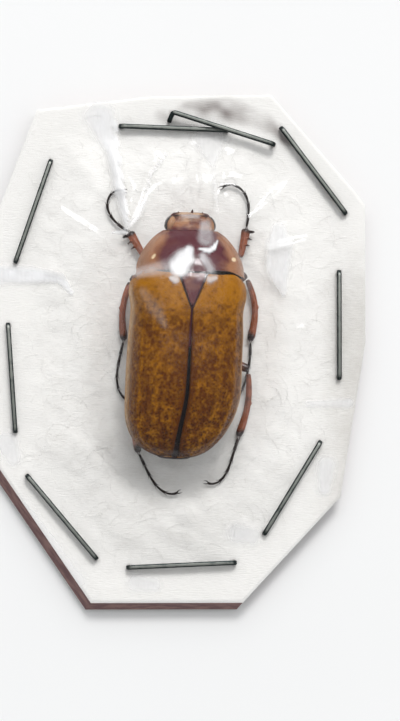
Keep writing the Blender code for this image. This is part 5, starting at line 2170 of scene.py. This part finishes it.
@dataclass
class Film(Layer):
    """The tight clear film over everything: it rests on the beetle and creases towards the staples."""

    grid: float = 0.2
    rounds: tuple[tuple[int, int], ...] = ((8, 300), (4, 300), (2, 300), (1, 260))  # of each grid, in steps
    smoothing: int = 3
    clearance: float = 0.1
    cotton_clearance: float = 0.05
    pull: float = 0.28  # how strongly the air outside presses it down: its bend where it is free
    thickness: float = 0.03
    rings: int = 122
    sides: int = 390
    # painted glare: white streaks and patches where the film catches the lamp, over the beetle, its head and
    # the border
    streaks: tuple[Streak, ...] = (
        Streak(
            ((-6.86, 19.75, 1.25), (-5.91, 16.9, 0.5), (-4.84, 11.44, 0.3), (-4.54, 10.16, 0.1)), 0.62, 1.1
        ),
        Streak(((-5.57, 19.75, 0.14), (-5.4, 16.9, 0.13), (-4.6, 11.44, 0.12), (-4.54, 10.16, 0.1)), 0.75, 1),
        Streak(((-4.71, 9.98, 0.14), (-3.69, 11.0, 0.13), (-3.0, 12.56, 0.12)), 0.55, 1.2),
        Streak(((-3.0, 12.56, 0.12), (-2.49, 14.87, 0.1), (-1.11, 16.67, 0.08)), 0.45, 1.2),
        Streak(((-5.74, 9.73, 0.12), (-4.71, 9.73, 0.16)), 0.6, 1.2),
        Streak(((2.57, 17.8, 1.5), (2.83, 15.7, 0.25)), 0.4, 1.2),
        Streak(((2.83, 15.7, 0.2), (3.17, 11.44, 0.07)), 0.25, 1.4),
        Streak(((-15.4, 6.1, 0.75), (-12.9, 6.15, 0.66), (-10.3, 5.9, 0.4), (-9.3, 4.6, 0.15)), 0.75, 1.1),
        Streak(((8.48, 10.1, 0.6), (8.57, 8.6, 1.15), (8.35, 6.5, 0.95), (8.9, 4.7, 0.3)), 0.5, 0.6),
        Streak(((-3.63, 5.98, 0.4), (-1.47, 6.32, 0.55)), 0.3, 1.6),
        Streak(((-0.3, 6.5, 0.85), (0.15, 7.1, 0.75), (0.6, 7.9, 0.35)), 0.8, 1.0),
        Streak(((1.72, 7.33, 0.3), (2.35, 6.2, 0.35)), 0.42, 1.6),
        Streak(((1.47, 8.0, 0.1), (2.23, 7.83, 0.2), (2.65, 8.09, 0.19), (2.99, 8.67, 0.08)), 0.8, 1.1),
        Streak(((2.02, 10.2, 0.42), (2.02, 8.95, 0.68)), 0.27, 0.9),
        Streak(((-0.95, 5.45, 0.2), (-0.6, 5.3, 0.3)), 0.55, 1.4),
        Streak(((2.3, 5.35, 0.3), (2.75, 5.5, 0.2)), 0.5, 1.4),
        Streak(((-3.32, 4.3, 0.4), (-2.4, 3.0, 0.62), (-1.5, 1.5, 0.3)), 0.08, 1.7),
        Streak(((0.1, 10.97, 0.17), (1.4, 10.95, 0.17)), 0.3, 1.4),
        Streak(((-13.6, -13.6, 0.7), (-8.7, -20.1, 0.7)), 0.35, 1.6),
        Streak(((-14.8, -8.2, 0.9), (-14.2, -9.6, 0.6)), 0.5, 1.3),
        Streak(((5.0, -15.9, 0.9), (6.2, -16.2, 0.7)), 0.45, 1.3),
        Streak(((12.6, -10.2, 0.8), (12.4, -12.2, 0.5)), 0.5, 1.3),
        Streak(((11.0, -4.9, 0.25), (14.6, -4.8, 0.4)), 0.5, 1.3),
        Streak(((-3.8, -20.2, 0.7), (-2.2, -20.3, 0.6)), 0.45, 1.3),
    )
    pucker: float = 0.09
    pucker_reach: float = 1.1
    folds: tuple[Fold, ...] = (
        Fold((-6.4, 19.5), (-4.2, 9.6), 0.4, 0.6),
        Fold((-2.0, 16.5), (-4.6, 9.8), 0.25, 0.4),
        Fold((0.9, 18.0), (1.7, 12.6), 0.2, 0.45),
        Fold((4.2, 17.0), (3.0, 12.2), 0.15, 0.4),
        Fold((-11.8, 6.6), (-5.6, 6.3), 0.35, 0.5),
        Fold((-11.0, 12.0), (-5.6, 8.6), 0.3, 0.5),
        Fold((11.6, 9.2), (6.2, 8.0), 0.35, 0.5),
        Fold((10.5, 15.0), (5.6, 10.6), 0.3, 0.5),
        Fold((-11.6, -3.0), (-6.0, -1.6), 0.25, 0.45),
        Fold((-8.8, -12.6), (-4.6, -8.2), 0.3, 0.5),
        Fold((0.3, -16.0), (0.3, -11.6), 0.3, 0.5),
        Fold((8.6, -11.0), (5.0, -7.6), 0.3, 0.5),
        Fold((11.2, 1.6), (6.8, 1.2), 0.25, 0.45),
    )

    def axes(self, step: float) -> tuple[Array, Array]:
        """The grid's lines in x and y."""
        half = np.abs(np.array(self.shape.corners)).max(0) + 1.0
        return np.arange(-half[0], half[0] + step, step), np.arange(-half[1], half[1] + step, step)

    def floor(self, step: float, covered: Array) -> tuple[Array, Array]:
        """The lowest height that the film may have on a grid, and where the staples hold it down.

        Args:
            step: The grid's spacing.
            covered: The points that it has to cover.

        Returns:
            The height and whether it is held, at each place of the grid.
        """
        xs, ys = self.axes(step)
        points = np.stack(np.meshgrid(xs, ys, indexing="ij"), -1)
        held = self.shape.depth(points) <= self.shape.border - 0.3
        low = self.shape.cotton_height(points) + self.cotton_clearance
        i = np.round((covered[:, 0] - xs[0]) / step).astype(int)
        j = np.round((covered[:, 1] - ys[0]) / step).astype(int)
        np.maximum.at(low, (i, j), covered[:, 2] + self.clearance)
        return low, held

    def heights(self, covered: Array) -> Array:
        """Lets the film settle from coarse grids to fine ones, as a tight skin does.

        Args:
            covered: The points that it has to cover.

        Returns:
            Its height on the finest grid.
        """
        film: Array | None = None
        for coarseness, rounds in self.rounds:
            step = self.grid * coarseness
            low, held = self.floor(step, covered)
            if film is None:
                film = low.copy()
            else:
                xs, ys = self.axes(step)
                coarse_x, coarse_y = self.axes(step * 2)
                rows = np.stack([np.interp(xs, coarse_x, film[:, j]) for j in range(film.shape[1])], 1)
                film = np.stack([np.interp(ys, coarse_y, rows[i]) for i in range(len(xs))])
            for _ in range(rounds):
                mean = film.copy()
                mean[1:-1, 1:-1] = around(film)
                film = np.where(held, low, np.maximum(mean - self.pull * step * step / 4, low))
        for _ in range(self.smoothing):
            film[1:-1, 1:-1] = film[1:-1, 1:-1] * 0.5 + around(film) * 0.5
        return film

    def sampled(self, film: Array, flat: Array) -> Array:
        """The film's height at any points, smoothly between the grid's.

        Args:
            film: Its height on the finest grid.
            flat: The points, with x and y in the last axis.

        Returns:
            One height for each point.
        """
        xs, ys = self.axes(self.grid)
        u, v = (flat[..., 0] - xs[0]) / self.grid, (flat[..., 1] - ys[0]) / self.grid
        i, j = np.floor(u).astype(int), np.floor(v).astype(int)
        total = np.zeros(u.shape)
        for a, wa in enumerate(self.weights(u - i), -1):
            for b, wb in enumerate(self.weights(v - j), -1):
                total += film[i + a, j + b] * wa * wb
        return total

    @staticmethod
    def weights(t: Array) -> tuple[Array, ...]:
        """A cubic B-spline's four weights."""
        inner = (3 * t**3 - 6 * t**2 + 4) / 6, (-3 * t**3 + 3 * t**2 + 3 * t + 1) / 6
        return (1 - t) ** 3 / 6, *inner, t**3 / 6

    def puckers(self, flat: Array) -> Array:
        """How far it is drawn up in small creases round each hole."""
        total = np.zeros(flat.shape[:-1])
        for k, hole in enumerate(self.holes):
            x, y = np.moveaxis(flat - hole, -1, 0)
            far = np.hypot(x, y) / self.pucker_reach
            total += (0.5 + 0.5 * np.cos(5 * np.arctan2(y, x) + k)) * np.exp(-((far - 0.45) ** 2) / 0.06)
        return self.pucker * total

    def build(self, covered: Array) -> Piece:
        """Builds the film.

        Args:
            covered: The points that it has to cover.

        Returns:
            The piece.
        """
        settled = self.heights(covered)
        flat = self.shape.discs(self.rings, self.sides, 0.3)
        height = self.sampled(settled, flat)
        inner = self.shape.depth(flat)
        free = ease(self.shape.border - 1.2, self.shape.border + 1.5, inner)
        above = height - self.shape.cotton_height(flat)
        place = np.concatenate([flat, height[..., None]], -1)
        folds = sum(fold.lift(flat) for fold in self.folds)
        ripples = 0.05 * grain(place * [1, 1, 0], 1.6, 121) + 0.022 * grain(place * [1, 1, 0], 0.7, 122)
        loose = ease(0.05, 0.6, above) * ease(3.4, 2.2, above)
        height = height + free * (folds * ease(3.6, 1.5, above) + ripples * (0.45 + loose))
        height = height + (1 - free) * 0.035 * (grain(place * [1, 1, 0], 2.4, 123) + 0.6)
        height = height + self.puckers(flat) * ease(0.1, 0.5, inner)
        top = np.concatenate([flat, height[..., None]], -1)
        bottom = top.copy()
        bottom[..., 2] -= self.thickness
        # painted glare on the film, fading at the streaks' sides
        glare_share = np.maximum.reduce([streak.cover(flat) for streak in self.streaks])
        glare_share = glare_share * np.clip(0.95 + 0.22 * grain(place, 0.9, 124), 0, 1.15)
        coat = self.shop.film
        film = layered(top, bottom, {"haze": glare_share}).to_object("film_cover", coat.material, 80)
        return self.shop.place(film, coat, "packet_film")


@dataclass(frozen=True)
class Staple:
    """One staple: the middle of its crown, the way it lies, how far it rides on another, and its bent leg."""

    middle: Pair
    angle: float
    lift: float = 0.0
    kink: Pair = (0.0, 0.0)  # from the crown's left end to where that leg goes down


@dataclass
class Staples:
    """Nine wire staples, made by one tree from a bent line."""

    crown: float = 9.4
    clinch: float = 1.9
    width: float = 0.5
    thickness: float = 0.4
    crown_bottom: float = 2.16
    knee_drop: float = 0.8  # how far a bent leg's knee comes down, as a share of the lift
    each: tuple[Staple, ...] = (
        Staple((-12.6, 11.6), 71.0),
        Staple((-14.4, -2.7), 94.0),
        Staple((-10.1, -14.6), 130.0),
        Staple((0.15, -18.7), 2.5),
        Staple((9.65, -12.1), 58.5),
        Staple((13.7, 1.9), 90.0),
        Staple((11.5, 15.2), -53.0),
        Staple((3.68, 18.78), -17.5, 0.46, (-0.28, -0.62)),
        Staple((-0.55, 18.8), -2.0),
    )

    def tree(self, material: Material) -> Growth:
        """The tree: it rounds a line's corners and draws the wire along it.

        Args:
            material: What the wire is made of.

        Returns:
            The tree.
        """
        sizes = {"Bend": 0.0003, "Width": 0.0005, "Thickness": 0.0004, "Rounding": 0.00013}
        tree = Growth("staple_bender", sizes)
        inlet = tree.inlet
        line = tree.out("GeometryNodeMeshToCurve", {"Mesh": inlet["Geometry"]})
        fillet, settings = "GeometryNodeFilletCurve", {"mode": "POLY"}
        bent = tree.out(fillet, {"Curve": line, "Radius": inlet["Bend"], "Count": 7}, settings)
        inputs = {"Width": inlet["Thickness"], "Height": inlet["Width"]}
        box = tree.out("GeometryNodeCurvePrimitiveQuadrilateral", inputs)
        profile = tree.out(fillet, {"Curve": box, "Radius": inlet["Rounding"], "Count": 4}, settings)
        fixed = tree.out("GeometryNodeSetCurveNormal", {"Curve": bent}, {"mode": "Z_UP"})
        inputs = {"Curve": fixed, "Profile Curve": profile, "Fill Caps": True}
        tree.end(tree.out("GeometryNodeCurveToMesh", inputs), material)
        return tree

    def line(self, staple: Staple) -> bpy.types.Mesh:
        """The middle of one staple's wire, bent a little as staples are.

        Args:
            staple: Which one.

        Returns:
            A mesh of edges only.
        """
        half, top = self.crown / 2 - self.thickness / 2, self.crown_bottom + self.thickness / 2 + staple.lift
        low = self.thickness / 2
        end = self.crown / 2 - self.clinch
        points = [(-end, low), (-half, low), (-half, top), (half, top), (half, low), (end, low)]
        place = self.placed(staple)
        corners = [place @ Vector((x, 0, z)) for x, z in points]
        if any(staple.kink):
            bent = Vector((*staple.kink, 0))
            knee = Vector((*(corners[2] + bent).xy, top - staple.lift * self.knee_drop))
            corners[:2] = [corners[0] + bent, corners[1] + bent, knee]
        mesh = bpy.data.meshes.new("staple_line")
        edges = [(k, k + 1) for k in range(len(corners) - 1)]
        mesh.from_pydata([corner * MM for corner in corners], edges, [])
        return mesh

    def placed(self, staple: Staple) -> Matrix:
        """From a staple's own frame, with x along its crown, to the packet's."""
        return Matrix.Translation((*staple.middle, 0)) @ turned(staple.angle)

    def wear(self, wire: Piece, staple: Staple) -> None:
        """Paints a highlight on the middle of the wire's face, fading out towards the edges of its width."""
        own = moved(vertices(wire), self.placed(staple).inverted())
        across = np.abs(own[:, 1]) / (self.width / 2)
        painted_highlight = ease(0.7, 0.15, across) * ease(1.0, 0.93, np.abs(own[:, 0]) / (self.crown / 2))
        layer = wire.data.attributes.new("worn", "FLOAT", "POINT")
        layer.data.foreach_set("value", painted_highlight.astype(np.float32))

    def ends(self) -> Array:
        """Where the staples' legs go through the film, as x and y."""
        half = self.crown / 2 - self.thickness / 2
        places = [self.placed(s) @ Vector((x, 0, 0)) for s in self.each for x in (-half, half)]
        return np.array([place.xy for place in places])

    def build(self, shop: Workshop) -> list[Piece]:
        """Builds every staple.

        Args:
            shop: The finishes, which also make pieces.

        Returns:
            The pieces.
        """
        tree = self.tree(shop.steel.material)
        made = []
        for number, staple in enumerate(self.each, 1):
            node = f"packet_staple_{number}"
            wire = tree.grow(f"staple_{number}", self.line(staple), {"Bend": 0.00028})
            wire.data.shade_smooth()
            wire.data.set_sharp_from_angle(angle=math.radians(50))
            self.wear(wire, staple)
            made.append(shop.place(wire, shop.steel, node))
        return made


# The studio


@dataclass
class Studio:
    """The floor, the camera over the packet, and soft light from the upper right."""

    floor_size: float = 1.2
    frame_height: float = 61.8  # of what the camera sees at the cotton's height
    centre: Place = (1.71, -1.20, 2.42)
    lean: Pair = (-2.5, -2.5)  # degrees that the camera stands off the vertical
    lens: float = 150.0
    sensor: float = 36.0
    air_above: float = 0.34  # the room's brightness round the camera, and at its sides
    air_sides: float = 0.42
    window: float = 1.3  # how much brighter it is towards the lamp
    key_place: Colour = (0.19, 0.87, 1.03)  # the lamp's place and size in metres, and its power in watts
    key_size: Pair = (0.40, 0.32)
    key_power: float = 8.6

    def camera(self) -> Piece:
        """The camera, nearly straight above."""
        data = bpy.data.cameras.new("camera")
        data.lens, data.sensor_width = self.lens, self.sensor
        data.clip_start, data.clip_end = 0.005, 10.0
        eye = bpy.data.objects.new("camera", data)
        bpy.context.scene.collection.objects.link(eye)
        back = Vector((*(math.tan(math.radians(a)) for a in self.lean), 1.0)).normalized()
        right = Vector((0, 1, 0)).cross(back).normalized()
        up = back.cross(right)
        turn = Matrix((right, up, back)).transposed().to_4x4()
        distance = self.frame_height * self.lens / self.sensor
        eye.matrix_world = Matrix.Translation((Vector(self.centre) + back * distance) * MM) @ turn
        bpy.context.scene.camera = eye
        return eye

    def lamp(self, name: str, place: Colour, size: Pair, power: float, colour: Colour) -> None:
        """One soft rectangular light that faces the packet; place and size are in metres."""
        data = bpy.data.lights.new(name, "AREA")
        data.shape, data.size, data.size_y = "RECTANGLE", *size
        data.energy, data.color = power, colour
        light = bpy.data.objects.new(name, data)
        bpy.context.scene.collection.objects.link(light)
        light.location = place
        light.rotation_euler = (-Vector(place)).to_track_quat("-Z", "Y").to_euler()

    def build(self) -> None:
        """Builds everything that isn't part of the object."""
        self.camera()
        finish = PlainFinish("studio_floor", (0.90, 0.90, 0.895), (0.885, 0.885, 0.88), 40.0, 0.6)
        half = self.floor_size / 2 / MM
        corners = np.array([(x * half, y * half, -0.02) for x, y in ((-1, -1), (1, -1), (1, 1), (-1, 1))])
        floor = Surface(corners, [(0, 1, 2, 3)]).to_object("studio_floor", finish.build())
        world = bpy.data.worlds.new("studio_air")
        world.use_nodes = True
        kit = NodeKit(world.node_tree)
        way = kit.node("ShaderNodeTexCoord").outputs["Generated"]
        height = Signal(kit, kit.node("ShaderNodeSeparateXYZ", None, {0: way}).outputs["Z"])
        air = world.node_tree.nodes["Background"].inputs
        air["Color"].default_value = (0.97, 0.985, 1.0, 1)
        strength = self.air_sides - (self.air_sides - self.air_above) * height.between(0.72, 0.92)
        lamp_way = unit(np.array(self.key_place))
        toward = kit.node("ShaderNodeVectorMath", {"operation": "DOT_PRODUCT"}, {0: way, 1: lamp_way})
        strength = strength + Signal(kit, toward.outputs["Value"]).between(0.55, 1.0) ** 1.5 * self.window
        kit.tree.links.new(strength.socket, air["Strength"])
        bpy.context.scene.world = world
        bpy.context.scene.view_settings.view_transform = "Standard"
        self.lamp("key_light", self.key_place, self.key_size, self.key_power, (1.0, 0.99, 0.985))


LEG_HAIRS = {"Density": 9.0e6, "Length": 0.00022, "Width": 0.000011}
BELLY_HAIRS = {"Density": 14.0e6, "Length": 0.0003, "Width": 0.00001}


def main() -> None:
    """Builds the studio, the beetle and the packet, and reports each piece."""
    logging.basicConfig(level=logging.INFO, format="%(name)s: %(message)s")
    Studio().build()
    shop = Workshop()
    stance, outline = Stance(), Outline()
    shared = (shop, stance, outline)
    hollows = {leg.name: leg.hollow(stance) for leg in LEGS}

    cases = [WingCases(*shared).build(side) for side in Side]
    shield = Pronotum(*shared).build([hollow for name, hollow in hollows.items() if "hind" not in name])
    plate = Scutellum(*shared).build()
    trunk = Trunk(*shared).build(hollows)
    head = Head(*shared).build()
    limbs = []
    for leg in LEGS:
        limbs += [leg.femur(stance, shop), leg.tibia(stance, shop), leg.foot(stance, shop)]

    bristles = HairTree("leg_hairs", shop.hair.material)
    for piece in limbs:
        if "hairy" in piece.data.attributes:
            node = piece.name.removesuffix("_shell")
            hairs = bristles.grow(f"{node}_hairs", piece.data.copy(), LEG_HAIRS)
            shop.place(hairs, shop.hair)
    down = HairTree("belly_hairs", shop.down.material)
    for piece in trunk:
        hairs = down.grow(f"{piece.name}_hairs", piece.data.copy(), BELLY_HAIRS)
        shop.place(hairs, shop.down)

    staples = Staples()
    layers = (shop, PacketShape(), staples.ends())
    Card(*layers).build()
    pad = Cotton(*layers).build()
    fibres = FibreTree("cotton_fibres", shop.fibre.material).grow("cotton_fibres", pad.data.copy(), {})
    shop.place(fibres, shop.fibre)
    solid = [*cases, shield, plate, *head, *limbs]
    Film(*layers).build(np.concatenate([vertices(piece) for piece in solid]))
    staples.build(shop)


def vertices(piece: Piece) -> Array:
    """A piece's points in millimetres."""
    flat = np.zeros(len(piece.data.vertices) * 3, np.float32)
    piece.data.vertices.foreach_get("co", flat)
    return flat.reshape(-1, 3).astype(float) / MM


if __name__ == "__main__":
    main()
